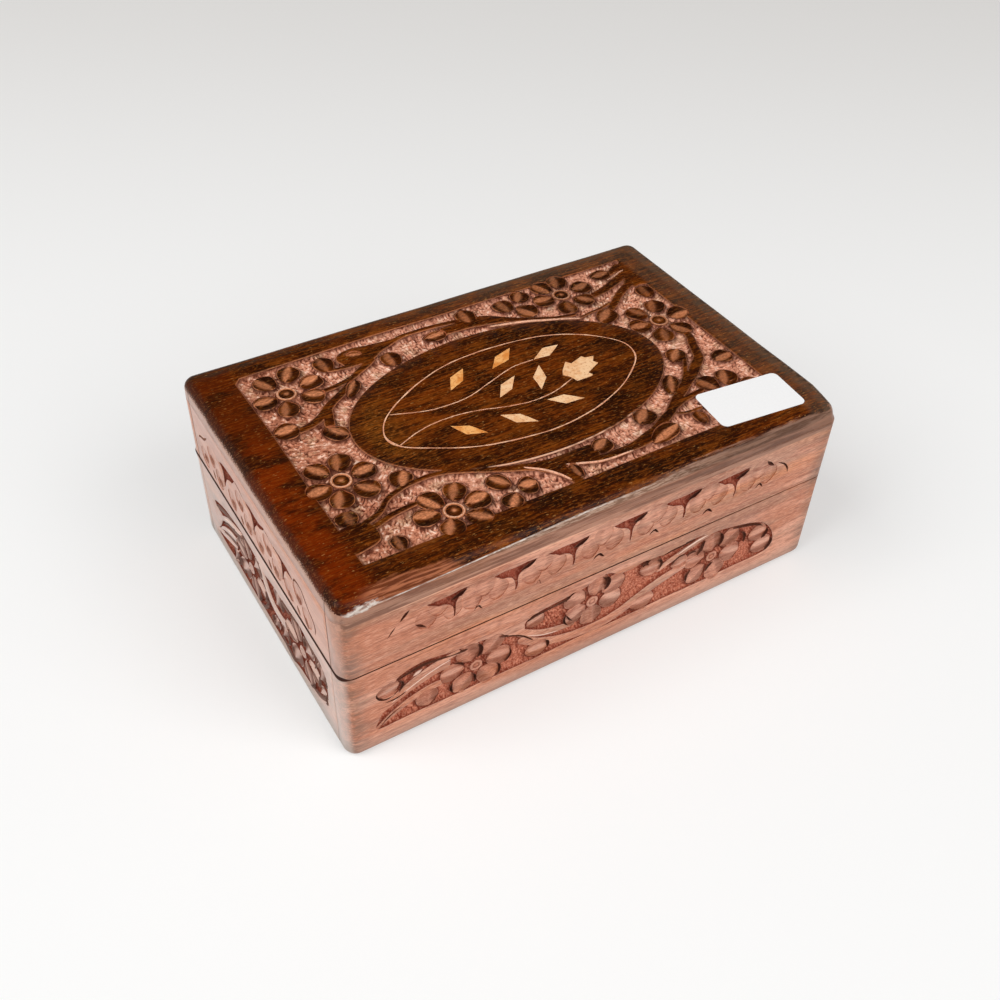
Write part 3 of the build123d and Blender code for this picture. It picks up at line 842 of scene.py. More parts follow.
def makeTopBoard(material):
    length, depth, top = form["halfLength"], form["halfDepth"], form["top"]
    low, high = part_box("lid_top_board")
    board = blank("carvedTopBoard", low, high)
    outside = lambda c: near(abs(c.x), length) and near(abs(c.y), depth)
    under = lambda c: near(c.z, form["underTop"])
    bevelEdges(board, lambda e: upright(e) and both(e, outside), topForm["cornerR"], 8)
    bevelEdges(board, lambda e: both(e, lambda c: near(c.z, top)), topForm["edgeR"], 7)
    for axis, places in enumerate(topForm["cuts"]):
        cutAcross(board, axis, places)
    bevelEdges(board, lambda e: both(e, under) and sharp(e), topForm["joint"])
    rng = random.Random(5)
    waves = [(rng.uniform(0.02, 0.16), rng.uniform(0.02, 0.16), rng.uniform(0, 6.3)) for _ in range(7)]
    reach, deep = topForm["knock"]
    rimX, rimY = topForm["rim"]
    edgeFoot = top - topForm["edgeR"]
    for w in board.data.vertices:
        x, y, z = w.co / mm
        if z < edgeFoot - 0.1:
            continue
        # the edges are sanded in a little, unevenly, and one corner is knocked down
        sway = 0.5 + 0.5 * sum(math.sin(kx * x + ky * y + p) for kx, ky, p in waves) / 3.5
        push = topForm["sanding"] * min(1, max(0, sway))
        inward = Vector((-x / length if abs(x) > rimX else 0, -y / depth if abs(y) > rimY else 0, 0))
        w.co += inward * push * mm * (2.0 if z > top - 0.01 else 1.0)
        knock = max(0, 1 - math.hypot(length - x, y + depth) / reach) ** 1.2
        w.co += Vector((-0.3, 0.3, -1)) * knock * deep * mm
        if edgeFoot + 0.1 < z < top - 0.05:
            w.co.z -= push * 0.5 * mm
    rng = np.random.default_rng(11)
    carveBoard(board, "top", lidShapes(lidCarving, rng), 21, lidCarving["sink"], (-0.6, 0.8))
    finishBoard(board, "lid", material, "polished_dark_wood", "lid_top_board")


sideCarving = {
    "sink": 2.0,
    "petals": {"petal": (10.4, 9.5), "dish": 0.5, "low": 0.2, "tip": 0.2, "worn": 0.35, "ring": 2.6,
               "soot": 0.6, "rim": 0.5, "ringWorn": 0.5, "raw": 0.3, "hollow": 0.3},
    # outline of one sunk gap in the band: across from -1 to 1 between its ends, 0 at its stem
    "gap": [(-1, 64.9), (-0.5, 65.3), (0, 65.2), (0.5, 65.5), (1, 65.4), (0.86, 64.6), (0.72, 63.2),
            (0.58, 62.4), (0.42, 62.4), (0.28, 61.6), (0.16, 60.2), (0.12, 58.6), (0.13, 56), (0.08, 53.8),
            (0.0, 53.6), (0.0, 56.6), (-0.05, 59), (-0.16, 60.6), (-0.36, 61.6), (-0.56, 62), (-0.68, 62.8),
            (-0.84, 63.8)],
    # the deepest cut of a gap, from its right end, painted dark as the shade in the gap
    "deepCut": [(-6.5, 62.6, 0.4), (-3.6, 63.6, 1.5), (-0.6, 65, 0.5)],
}

longBoard = {
    "petals": {},
    "fields": [
        [(-96, 10.9), (-88, 10.4), (-80, 10.6), (-66, 10.2), (-52, 10.4), (-40, 10.2), (-33.5, 10.4),
         (-32.6, 13), (-33.8, 17), (-32.4, 20.2), (-33.5, 23.2), (-36.5, 26.6), (-40.5, 29.8), (-44.8, 32.4),
         (-48, 33.4), (-54, 34.2), (-60, 34.6), (-66, 35.2), (-71, 36.2), (-77, 37), (-83, 36), (-87.4, 33.6),
         (-87, 29), (-90.5, 23.4), (-94, 17.6)],
        [(-34.6, 10.6), (-24, 10.2), (-10, 10.6), (10, 10.2), (30, 10.6), (50, 10.2), (66, 10.6), (78, 10.4),
         (84.6, 11.4), (87.2, 15), (86, 20.6), (82.6, 26), (78.6, 29.8), (72, 32.8), (64, 35), (56, 36.6),
         (50, 37.2), (46, 38.2), (38, 38.4), (29, 37.2), (24, 37.6), (17.6, 38.2), (11, 37), (6.4, 37.6),
         (1.6, 40.2), (-4, 40.6), (-8.4, 38.4), (-13, 37.6), (-18, 37.2), (-24, 36.6), (-31, 35.6),
         (-34.8, 33.4), (-35, 30), (-36.6, 26), (-36, 21), (-34.4, 18)],
    ],
    "flowers": [
        [(-55.4, 21.8), (-58.4, 30), (-48.6, 29.4), (-45.8, 21.2), (-50.6, 14.6), (-61, 15.2), (-65.2, 23.2)],
        [(-5, 28.4), (-3, 36), (-12.8, 33.4), (-12.4, 25.2), (-4.8, 20.9), (3.6, 25.4), (4.4, 33)],
        [(53.4, 23.2), (52, 31.4), (44.8, 26), (46.4, 16.6), (56.4, 14.8), (63, 20.8), (61.6, 29.6)],
    ],
    "leaves": [(-91, 30, 9.6, 7, 15), (-75.6, 15.8, 9.8, 9.2, 90), (-30.4, 31.8, 8, 7.2, 20),
               (-29, 15.4, 10.2, 9, 0), (21.8, 33, 10.2, 9, 0), (20, 14.8, 11.6, 9, 0),
               (36.4, 28.4, 8.2, 6, 10), (77.2, 24.6, 9.6, 9, 0), (80.8, 16.4, 10.6, 9.2, 0)],
    "stems": [
        [(-97, 17.5, 1.2), (-92, 22, 2), (-85, 26.4, 2.6), (-78, 30, 2.8), (-71, 32.4, 2.8),
         (-62, 33.8, 2.2)],
        [(-93, 19.5, 1), (-86, 23.6, 2.4), (-79, 27, 3.6), (-72, 29.4, 4.4), (-66, 30, 4.6)],
        [(-96.5, 11, 1), (-91, 14.8, 2.2), (-85, 18, 2.8), (-79, 20.2, 3), (-73, 21, 3.2), (-69, 21, 2.6)],
        [(-38, 29.4, 4), (-31, 25, 3.6), (-25, 22.8, 3), (-18, 21.4, 2.8), (-12, 20.8, 2)],
        [(-37.5, 25, 3), (-31, 20.6, 3.8), (-26, 17.8, 4), (-19, 15.2, 4), (-10, 13.4, 4.2), (0, 13, 4.6),
         (9, 14.8, 4.6), (17, 18.4, 4.4), (25, 21.6, 4.2), (33, 24, 4), (41, 26, 3.4)],
        [(24.6, 29, 2), (30, 31.4, 2.6), (37, 33.8, 2.8), (44, 35.8, 2.6), (50.6, 37.6, 2)],
    ],
    # light nicks along the stems, pale cut wood with a painted highlight along a stem's top edge: place and
    # width
    "cuts": [
        [(-90, 22.4, 0.3), (-84, 25.6, 0.6), (-77, 28.8, 0.6), (-70, 31, 0.5), (-66, 31.6, 0.3)],
        [(-34, 26, 0.3), (-27, 22.4, 0.5), (-20, 20.6, 0.3)],
        [(34, 33.8, 0.4), (39, 35.4, 0.8), (44, 36.8, 0.8), (49, 37.6, 0.4)],
    ],
    # bites of the gouge beside the petals, painted dark as shade: middle, radius, from and to (degrees),
    # width
    "bites": [(-58.4, 30, 4.9, -48, 42, 1.4), (-61, 15.2, 5, 150, 215, 0.9), (-61, 15.2, 5.2, -25, 35, 0.8),
              (-50.6, 14.6, 5.2, -40, 35, 0.9), (-65.2, 23.2, 5, 20, 80, 0.7), (-3, 36, 4.8, -48, 38, 1.4),
              (-12.8, 33.4, 5, 95, 160, 0.9), (-12.4, 25.2, 5.1, 150, 230, 0.7),
              (21.8, 33, 4.9, 100, 150, 1.4), (21.8, 33, 5, -28, 30, 0.9), (52, 31.4, 5.1, -42, 45, 1.4),
              (52, 31.4, 5.2, 140, 205, 1.2), (46.4, 16.6, 5.1, 130, 200, 0.8),
              (56.4, 14.8, 5, 110, 170, 0.9), (77.2, 24.6, 4.8, -55, 12, 1.5),
              (80.8, 16.4, 5.1, -65, 25, 1.5), (-29, 15.4, 4.9, -20, 40, 1.1),
              (-30.4, 31.8, 3.9, 50, 150, 0.9), (-91, 30, 4.3, 165, 300, 0.7), (-45.8, 21.2, 5, -60, 20, 0.7),
              (36.4, 28.4, 3.9, 60, 170, 0.8)],
    # trefoils of the band: stem, left and right end of each gap between them
    "gaps": [(-64.6, -75, -59.2), (-40.2, -49.4, -31.6), (-16, -27.2, -9.6), (9, 0.8, 16.2), (33.6, 24, 41.2),
             (58, 48, 64.2)],
    "notches": [(-55.4, 54, 0.7), (-30.6, 53.8, 0.4), (-5, 53.8, 1), (20, 54, 0.9), (45.4, 52.6, 1),
                (70.6, 54.6, 0.8)],
    "bandCuts": [
        [(-81.4, 66.6, 0.4), (-83.2, 64.8, 1.3), (-85.2, 62.6, 0.4)],
        [(-86.6, 61.2, 0.3), (-88.2, 59.4, 0.6), (-90, 57, 0.3)],
        [(-79.4, 57.8, 0.3), (-77.8, 56.6, 1), (-75.4, 54.4, 0.4)],
        [(72.4, 65.4, 0.4), (74.2, 63.6, 1.5), (76.6, 61.6, 0.4)],
        [(78.4, 62.4, 0.3), (82, 60.2, 0.8), (84.2, 57.4, 0.8), (85, 54.6, 0.3)],
    ],
    "chips": [[(-81, 31.8, 0.4), (-79.4, 32.6, 1.5), (-77.4, 33.4, 0.4)]],
    # ragged cuts along the edges of the ground, painted dark as shade
    "strokes": [
        [(-88, 33.2, 0.4), (-82, 34.6, 1), (-77, 35.4, 1.5), (-72, 34.8, 0.9), (-66, 33.8, 0.6),
         (-61, 33.4, 1.2), (-59, 33.2, 0.3)],
        [(-86.4, 32.6, 0.3), (-85, 30, 1.1), (-86.6, 26.4, 0.3)],
        [(-92.4, 24, 0.4), (-88, 24, 0.9), (-84, 25.2, 0.3)],
        [(-95, 11.8, 0.3), (-91, 15.4, 0.6), (-86, 18.4, 0.3)],
        [(-46, 32, 0.3), (-40, 29.4, 0.8), (-35, 26, 0.8), (-31, 21.6, 0.4)],
        [(-34, 33.6, 0.3), (-30, 34.8, 0.7), (-24, 35.4, 0.4), (-18, 36, 0.9), (-15.6, 36.4, 0.3)],
        [(-16.6, 27, 0.3), (-15.4, 24.6, 0.8), (-13.6, 22.6, 0.3)],
        [(-1.4, 40, 0.3), (0.6, 37.6, 1), (0, 34.8, 0.3)],
        [(16.8, 37, 0.4), (18.6, 36.8, 1.6), (20.4, 35.2, 0.4)],
        [(26.4, 37, 0.4), (33, 37.8, 1), (42.6, 38.2, 0.4)], [(25, 35.4, 0.3), (27, 33, 1), (26, 30, 0.3)],
        [(47, 33.4, 0.6), (46.6, 30.8, 1.5), (45.2, 28, 0.3)],
        [(39.6, 30.6, 0.3), (42.4, 31.4, 0.9), (44.4, 30.4, 0.3)],
        [(62, 34.6, 0.4), (68, 33.2, 1.2), (74, 31.2, 0.9), (79, 28.4, 0.4)],
        [(67.6, 30.4, 0.3), (69.6, 27.4, 1.4), (69.8, 23.4, 0.4)],
        [(43, 20.6, 0.3), (41.4, 18.4, 1.2), (41.6, 14.6, 0.3)],
    ],
    "lobes": (-70.2, -52.4, -28.4, -3.6, 20.8, 45, 69.4),
    "lobe": [(-5.2, 58.4, 100), (5, 58.2, 80), (0, 62.4, 90)],
    "wedges": [],
    "spots": [],
}

shortBoard = {
    "petals": {"hollow": 1.3, "rim": 1.0, "dish": 0.8, "low": 0.04, "tip": 0.1, "soot": 0.9},
    "fields": [
        [(-55, 9.4), (-46, 8), (-36, 8.4), (-30, 7.4), (-16, 6.6), (-8, 7), (2, 6.6), (14, 6.4), (22, 5.4),
         (28, 7), (40, 8.6), (50, 12.4), (54.6, 18), (55.4, 26), (55, 31.4), (50.6, 35.2), (42, 36),
         (34, 37.6), (22, 36.2), (9, 35.4), (0, 34), (-8, 36.2), (-20, 37.4), (-28, 36.4), (-37, 35),
         (-46, 31.8), (-52.8, 28.4), (-51.2, 26), (-45.4, 25.2), (-47.6, 20.4), (-51, 15.4)],
    ],
    "flowers": [
        [(33.5, 22.5), (29.6, 31), (39.6, 30.4), (43.6, 21.5), (37, 13.6), (27, 14), (23.4, 23.5)],
        [(-15.5, 22), (-18, 31), (-7, 29.5), (-5.8, 19.4), (-13.6, 12.6), (-23, 15.4), (-25, 24.5)],
    ],
    "leaves": [(51, 28, 9.6, 8.6, 70), (50.4, 17, 7.6, 6.6, 40), (12.6, 30.4, 10.4, 9, 60),
               (15.4, 14.6, 9, 8, 60), (-34.2, 12.6, 9.4, 6.8, 60), (7, 12, 7.4, 5.8, 60)],
    "stems": [
        [(-56, 10.6, 1.4), (-47, 13.8, 2.6), (-39, 17, 2.6), (-31, 20, 2.2)],
        [(-50.4, 14.6, 1.2), (-43, 19.6, 2.2), (-35, 23.2, 2.6), (-27, 25.6, 2.4)],
        [(-50, 20.4, 1.6), (-44, 25, 2.4), (-37.4, 29.2, 2.6), (-30, 32.2, 2.4), (-21, 35, 2)],
        [(-3, 36, 4), (0.6, 28.4, 4.6), (5, 22.6, 4.8), (13, 21, 4.4), (21, 23, 3.6)],
    ],
    "cuts": [
        [(-43, 20.8, 0.4), (-36, 24.2, 0.8), (-28, 26.4, 0.4)],
        [(-43, 26, 0.4), (-37, 29.8, 0.8), (-28, 33, 0.4)], [(-1, 30.6, 0.4), (2.6, 25.6, 0.8), (8, 22, 0.4)],
    ],
    "bites": [(29.6, 31, 5, 60, 150, 1.2), (39.6, 30.4, 5, 20, 120, 1), (43.6, 21.5, 5, -60, 30, 1.2),
              (37, 13.6, 5, -80, 10, 1.2), (27, 14, 5, 180, 260, 1), (-18, 31, 5, 30, 130, 1.1),
              (-7, 29.5, 5, -10, 80, 1.3), (-5.8, 19.4, 5, -60, 30, 1.2), (-13.6, 12.6, 5, -60, 20, 1),
              (-23, 15.4, 5, 150, 250, 1.8), (51, 28, 4.6, -50, 40, 1.3), (50.4, 17, 4, -60, 40, 1.3),
              (12.6, 30.4, 5, -30, 50, 1.2), (15.4, 14.6, 4.6, -60, 30, 1), (7, 12, 3.6, 150, 240, 1),
              (-34.2, 12.6, 4.2, -40, 40, 1)],
    "strokes": [
        [(-51, 27.2, 0.6), (-46, 29.4, 1.8), (-39, 32, 1.6), (-33, 34.2, 1.8), (-31, 34.8, 0.5)],
        [(-44, 22.6, 0.4), (-38, 26.8, 1.6), (-31, 29.4, 2.2), (-25, 31.6, 2), (-21.6, 33, 0.6)],
        [(-46, 15.8, 0.4), (-40, 19, 1.2), (-34, 21, 1.5), (-29, 22.4, 0.6)],
        [(36.4, 28.6, 0.4), (36.8, 32.6, 0.8), (40.6, 35, 0.8), (46, 34.4, 0.7), (50, 34.2, 0.3)],
        [(47.6, 33, 0.4), (46.6, 28.6, 1), (45, 25.6, 0.4)],
        [(17, 33.8, 0.5), (21, 34.4, 2), (24.6, 34.2, 0.5)],
        [(40, 9.8, 0.5), (46, 11.6, 1.7), (51, 14.6, 1.2), (53, 18, 0.4)],
        [(12, 10.4, 0.4), (17, 7.8, 1.5), (22, 6.4, 1.2), (23.6, 6.4, 0.4)],
        [(1, 19, 0.5), (-1, 14.4, 1.8), (-5, 9.6, 1.4), (-9, 8, 0.5)],
    ],
    "chips": [],
    "gaps": [],
    "notches": [],
    "wedges": [
        [(-35.5, 61.8), (-33, 63.2), (-30, 64.4), (-24.5, 64.9), (-21, 65.3), (-18.4, 65.4), (-20.4, 62.8),
         (-22.5, 60.9), (-26, 59.7), (-28.4, 58.3), (-30, 56), (-31, 53), (-32.4, 51.8), (-32.8, 54),
         (-32.2, 57), (-32.4, 59.4), (-33.5, 60.8)],
        [(-9.5, 63.2), (-3.7, 63.8), (0.7, 63.1), (5.7, 63.1), (9.4, 64.7), (9.4, 63.9), (6.8, 61.4),
         (3.5, 59.5), (0.7, 59), (-1.3, 56.6), (-2.1, 54), (-1.7, 51.4), (-3.5, 50.6), (-4.2, 52.8),
         (-3.6, 55.2), (-4, 58.6), (-4.8, 60.4), (-8.7, 61.6)],
        [(16.1, 62.8), (23, 62.9), (28.8, 62.5), (31, 61.8), (33.6, 61), (34.4, 60.2), (31.6, 59.4),
         (27.4, 59.2), (25.6, 57.6), (24.4, 54.6), (23.6, 51.2), (22.2, 50.6), (22.6, 54), (23, 57.4),
         (22.6, 59.9), (20, 61), (16.5, 61.3)],
    ],
    "bandCuts": [
        [(-57.1, 58.8, 0.5), (-54.6, 60.6, 1.2), (-50.3, 62.2, 1.2), (-46.2, 65.6, 0.5)],
        [(34.2, 61, 0.5), (36.4, 63.3, 1.1), (41, 63.5, 1.1), (43.6, 61.1, 1.1), (46.6, 57.8, 1),
         (49.2, 56, 1), (50.8, 53, 0.9), (50.2, 49, 0.4)],
        [(-18, 65.3, 0.4), (-15.6, 65.7, 0.7), (-12.6, 64.8, 0.7), (-9.8, 63.5, 0.4)],
        [(9.8, 64.4, 0.4), (12.6, 64, 0.6), (15.9, 62.7, 0.4)],
    ],
    "spots": [(-52, 51.4, 3.4), (-43.7, 56.6, 3.6), (-43.7, 48.8, 2.2), (-36.8, 50.6, 3.4),
              (-23.5, 49.8, 3.6), (-14.9, 55.9, 4), (-15.6, 47.8, 2.4), (-8.4, 50.3, 3.6), (3.2, 50.1, 3.4),
              (11.8, 55.7, 3.8), (11.1, 48.2, 2.4), (17.2, 50, 3.4), (29.1, 48.8, 2.2), (37.7, 55, 3.2),
              (36.3, 47.8, 2.4), (43.2, 47.9, 2.4)],
    "lobes": (-44.4, -15.8, 10.6, 37),
    "lobe": [(-8, 51.6, 100), (7.4, 51.6, 80), (0.8, 58, 90)],
}


def uprightGround(loop, amount, rng):
    ground = Shape(wobbled(loop, amount, rng), "ground")
    ground.strokes = lambda x, y: math.radians(98 + 14 * math.sin(x * 0.07 + y * 0.11))
    return ground


def bodyShapes(d, rng):
    petals = {**sideCarving["petals"], **d["petals"]}
    shapes = [uprightGround(smoothLoop(outline, 0.8), 0.14, rng) for outline in d["fields"]]
    shapes += [stem(points, rng) for points in d["stems"]]
    shapes += [cutLine(points, rng, depth=0.3, worn=1.0) for points in d["cuts"]]
    shapes += [leaf(*spot, rng, petals) for spot in d["leaves"]]
    for spots in d["flowers"]:
        shapes += flower(spots, rng, petals)
    # painted shade: the bites and the strokes are filled dark
    shapes += [bite(*spot, rng) for spot in d["bites"]]
    shapes += [cutLine(points, rng, depth=0.8, worn=0, dark=0.9) for points in d["strokes"]]
    shapes += [cutLine(points, rng, depth=0.4, worn=0.85) for points in d["chips"]]
    return shapes


def bite(x, y, radius, start, end, width, rng):
    # a crescent where the gouge went in beside a petal, painted dark as shade
    points = []
    for k, part in enumerate((0.25, 0.8, 1.0, 0.8, 0.25)):
        a = math.radians(start + (end - start) * k / 4)
        points.append((x + radius * math.cos(a), y + radius * math.sin(a), 1.25 * width * part))
    return cutLine(points, rng, depth=1.1, worn=0.0, dark=0.95)


lobeForm = {"petal": (9.4, 8.2), "dish": 0.16, "low": 0.04, "tip": 0.05, "worn": 0.2, "rim": 0.1, "raw": 0.12,
            "soot": 0.3, "hollow": 0.3, "soft": 0.14}


def lobe(x, y, turn, rng):
    # a shallow dish at the height of the board
    shape = leaf(x, y, *lobeForm["petal"], turn, rng, lobeForm)
    shape.soft = lobeForm["soft"]
    return shape


def notch(x, y, k):
    # a bent nick of size k: places and widths
    return [(x - 2.2 * k, y - 1.7, 0.3), (x - 0.9 * k, y - 0.3, 0.8 * k), (x + 0.4, y, 1.1 * k),
            (x + 1.6 * k, y - 1.1, 0.9 * k), (x + 2.8 * k, y - 2.3, 0.3)]


def bandShapes(d, rng):
    shapes = []
    for x in d["lobes"]:
        shapes += [lobe(x + dx, z, turn, rng) for dx, z, turn in d["lobe"]]
    gaps = [[(middle + x * ((high - middle) if x > 0 else (middle - low)) + rng.uniform(-0.12, 0.12),
              y + rng.uniform(-0.2, 0.2)) for x, y in sideCarving["gap"]] for middle, low, high in d["gaps"]]
    shapes += [uprightGround(denseLoop(outline, 0.5), 0.08, rng) for outline in gaps + d["wedges"]]
    # painted shade: the deep cuts, the nicks, the band cuts and the spots are filled dark
    for _, _, high in d["gaps"]:
        points = [(high + x, y, wide) for x, y, wide in sideCarving["deepCut"]]
        shapes.append(cutLine(points, rng, depth=1.9, worn=0, dark=1))
    shapes += [cutLine(notch(x, y, k), rng, depth=0.7, worn=0.0, dark=0.6 + 0.4 * k)
               for x, y, k in d["notches"]]
    shapes += [cutLine(points, rng, depth=0.7, worn=0.1, dark=0.9) for points in d["bandCuts"]]
    shapes += [cutLine([(x - 1, z + 2, 1), (x, z, wide), (x + 1, z - 2, 1)], rng, depth=0.7, worn=0, dark=0.7)
               for x, z, wide in d["spots"]]
    return shapes


boardForm = {
    "cornerR": 5.0,
    "footR": 3.4,
    "joint": 0.15,
    "backDrop": 0.8,     # the carving at the back of the box sits lower, clear of the chamfer
}
hingeRoom = {
    "x": 62.0,           # middle of a hinge
    "y": 67.8,
    "length": 28.0,      # size of the seat of one leaf
    "in": 4.9,
    "thick": 1.1,
    "barrel": 1.75,
    "rise": 2.766,       # height of the chamfer at the back
    "slope": 51.5,       # of the chamfer, in degrees
    "play": 0.08,
}


def subtract(board, cutter):
    choose(board)
    cut = board.modifiers.new("hingeSeat", "BOOLEAN")
    cut.operation, cut.object, cut.solver = "DIFFERENCE", cutter, "EXACT"
    bpy.ops.object.modifier_apply(modifier=cut.name)
    bpy.data.objects.remove(cutter)


def chamferRim(board, rim, sign):
    # the back board's rim is chamfered into half of the groove that the hinges open in
    r = hingeRoom
    cutAcross(board, 2, [(rim + sign * (r["rise"] - r["play"]) * mm) / mm])
    for w in board.data.vertices:
        if near(w.co.y / mm, form["halfDepth"]) and near(w.co.z / mm, rim / mm):
            w.co.y = (r["y"] + r["play"] / math.tan(math.radians(r["slope"]))) * mm


def seatHinges(board, sign):
    # room for one leaf of each hinge and half of its barrel
    r = hingeRoom
    for x in (-r["x"], r["x"]):
        clearSelection()
        place = (x, r["y"] - r["in"] / 2 + 0.01, form["seam"] + sign * r["thick"] / 2 - sign * 0.3)
        bpy.ops.mesh.primitive_cube_add(size=1, location=tuple(v * mm for v in place))
        seat = bpy.context.object
        seat.scale = (r["length"] * mm, (r["in"] + 0.02) * mm, (r["thick"] + 0.6) * mm)
        bpy.ops.object.transform_apply(location=True, rotation=False, scale=True)
        subtract(board, seat)
        bpy.ops.mesh.primitive_cylinder_add(
            vertices=32, radius=r["barrel"] * mm, depth=(r["length"] + 0.5) * mm,
            location=(x * mm, r["y"] * mm, form["seam"] * mm), rotation=(0, math.pi / 2, 0))
        subtract(board, bpy.context.object)


def makeWall(part, side, seed):
    length, depth, footR = form["halfLength"], form["halfDepth"], boardForm["footR"]
    node = f"{part}_{side}_wall"
    low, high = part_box(node)
    long = side in ("front", "back")
    sign = -1 if part == "box" else 1   # the way from the seam into the part
    board = blank(f"carved{part.title()}{side.title()}Wall", low, high)
    atFoot = lambda c: near(c.z, 0)
    if long:
        y = -depth if side == "front" else depth
        if side == "back":
            chamferRim(board, high.z if part == "box" else low.z, sign)
        bevelEdges(board, lambda e: upright(e) and both(e, lambda c: near(abs(c.x), length) and near(c.y, y)),
                   boardForm["cornerR"], 8)
        if part == "box":
            bevelEdges(board, lambda e: both(e, atFoot) and (
                both(e, lambda c: not near(abs(c.y), form["innerDepth"]))
                or both(e, lambda c: near(abs(c.x), length))), footR, 5)
    elif part == "box":
        x = -length if side == "left" else length
        bevelEdges(board, lambda e: both(e, lambda c: atFoot(c) and near(c.x, x)), footR, 5)
    bevelEdges(board, sharp, boardForm["joint"])
    if side == "back":
        seatHinges(board, sign)
    kind = longBoard if long else shortBoard
    rng = np.random.default_rng(seed)
    shapes = bodyShapes(kind, rng) if part == "box" else bandShapes(kind, rng)
    drop = boardForm["backDrop"] if side == "back" and part == "box" else 0
    carveBoard(board, side, shapes, seed + 1, sideCarving["sink"], drop=drop)
    finishBoard(board, part, sideWood["X" if long else "Y"], "carved_side_wood", node)


inlay = {
    "wire": {"oval": 0.58, "stem_upper": 0.48, "stem_lower": 0.48},
    "wander": 0.1,
    "doubled": (-54.6, -4.8, 4.2),
    "proud": 0.02,
    "depth": 0.55,
    "oval": [(-55, -1), (-53, -9), (-45, -14.8), (-30, -22.5), (-15, -26.4), (2.5, -28.3), (20, -26),
             (35, -20.8), (45, -15), (54.5, -6.6), (57, 2), (53, 10), (42, 19.2), (27, 25.2), (5, 27.5),
             (-15, 25.8), (-33, 19), (-48.5, 9)],
    "stem_upper": [(-47.9, 8.7), (-36, 4.5), (-28, 3.3), (-17, 3.8), (-5, 7.8), (5, 11.3), (10, 12.3),
                   (17.9, 12.4)],
    "stem_lower": [(-52.4, -8.8), (-42.5, -5), (-32, -3.5), (-20, -4.5), (-5, -8.8), (5, -10.2), (15, -9),
                   (24.4, -5.6)],
    "leaves": [
        [(-20.8, 10.5), (-16.8, 18), (-9.3, 21), (-13.3, 13.8)],
        [(0.3, 14.8), (5.5, 21.3), (14, 23.8), (9.5, 17)],
        [(18, 12.3), (25.3, 17.3), (32.5, 16.3), (25.3, 11.5)], [(-6.5, -2.5), (-2, 4.5), (6, 7), (0.5, 0)],
        [(10.3, -5.8), (11.5, 2.5), (18, 8.3), (16.3, 0)],
        [(-31.5, -8), (-25, -11.3), (-20.8, -18.3), (-28.5, -15.3)],
        [(-12, -11.4), (-4.8, -14.5), (-1, -21.8), (-8.8, -18.3)],
        [(8.5, -12), (16, -12.5), (22, -18.3), (13.8, -17.8)],
    ],
    "tulip": [(24.5, -4.5), (22.5, -2), (24.3, 0.8), (28.3, 5), (29.8, 3), (36, 5), (36.8, 3.5), (40.5, 2.8),
              (38.3, 0), (39.5, -2), (32.5, -5.5), (33.3, -7.3), (32.3, -8), (25.5, -8)],
}


def slab(name, bottomLoops, material, edge):
    # a thin plate from one or two closed outlines, with a small bevel round its face
    top, depth = form["top"] + inlay["proud"], inlay["depth"]
    mesh = bpy.data.meshes.new(name)
    bm = bmesh.new()
    for loop in bottomLoops:
        ring = [bm.verts.new((x * mm, y * mm, (top - depth) * mm)) for x, y in loop]
        for a, b in zip(ring, ring[1:] + ring[:1]):
            bm.edges.new((a, b))
    bmesh.ops.triangle_fill(bm, edges=bm.edges[:], use_beauty=True, use_dissolve=False)
    bmesh.ops.recalc_face_normals(bm, faces=bm.faces)
    if bm.faces[0].normal.z > 0:
        bmesh.ops.reverse_faces(bm, faces=bm.faces)
    made = bmesh.ops.extrude_face_region(bm, geom=bm.faces[:], use_keep_orig=True)
    up = [g for g in made["geom"] if isinstance(g, bmesh.types.BMVert)]
    bmesh.ops.translate(bm, verts=up, vec=(0, 0, depth * mm))
    bmesh.ops.recalc_face_normals(bm, faces=bm.faces)
    rim = [e for e in bm.edges if all(near(w.co.z / mm, top) for w in e.verts) and e.calc_face_angle(0) > 1]
    bmesh.ops.bevel(bm, geom=rim, offset=edge * mm, segments=2, affect="EDGES", profile=0.5)
    bm.to_mesh(mesh)
    bm.free()
    piece = bpy.data.objects.new(name, mesh)
    bpy.context.scene.collection.objects.link(piece)
    mesh.materials.append(material)
    return piece


def wireBand(points, closed, wide, rng):
    # the strip wanders a little in width and place, because it is tapped in by hand
    line = smoothLoop(points, 0.7) if closed else smoothLine(points, 0.7)
    ahead = np.roll(line, -1, 0) - np.roll(line, 1, 0) if closed else np.gradient(line, axis=0)
    ahead /= np.hypot(*ahead.T)[:, None]
    side = np.stack([-ahead[:, 1], ahead[:, 0]], 1)
    t = np.arange(len(line)) / len(line) * 2 * math.pi
    drift = lambda: sum(rng.uniform(-1, 1) * np.sin(k * t + rng.uniform(0, 6.28))
                        for k in (7, 13, 22, 31)) / 3
    middle = line + side * (inlay["wander"] * drift())[:, None]
    half = wide / 2 * (1 + 0.45 * drift())
    if closed:
        x, y, reach = inlay["doubled"]   # two lengths meet side by side at the left end
        away = np.hypot(line[:, 0] - x, line[:, 1] - y) / reach
        half = half * (1 + 0.9 * unit(1.5 * (1 - away)))
    left, right = middle + side * half[:, None], middle - side * half[:, None]
    return [left, right] if closed else [np.vstack([left, right[::-1]])]


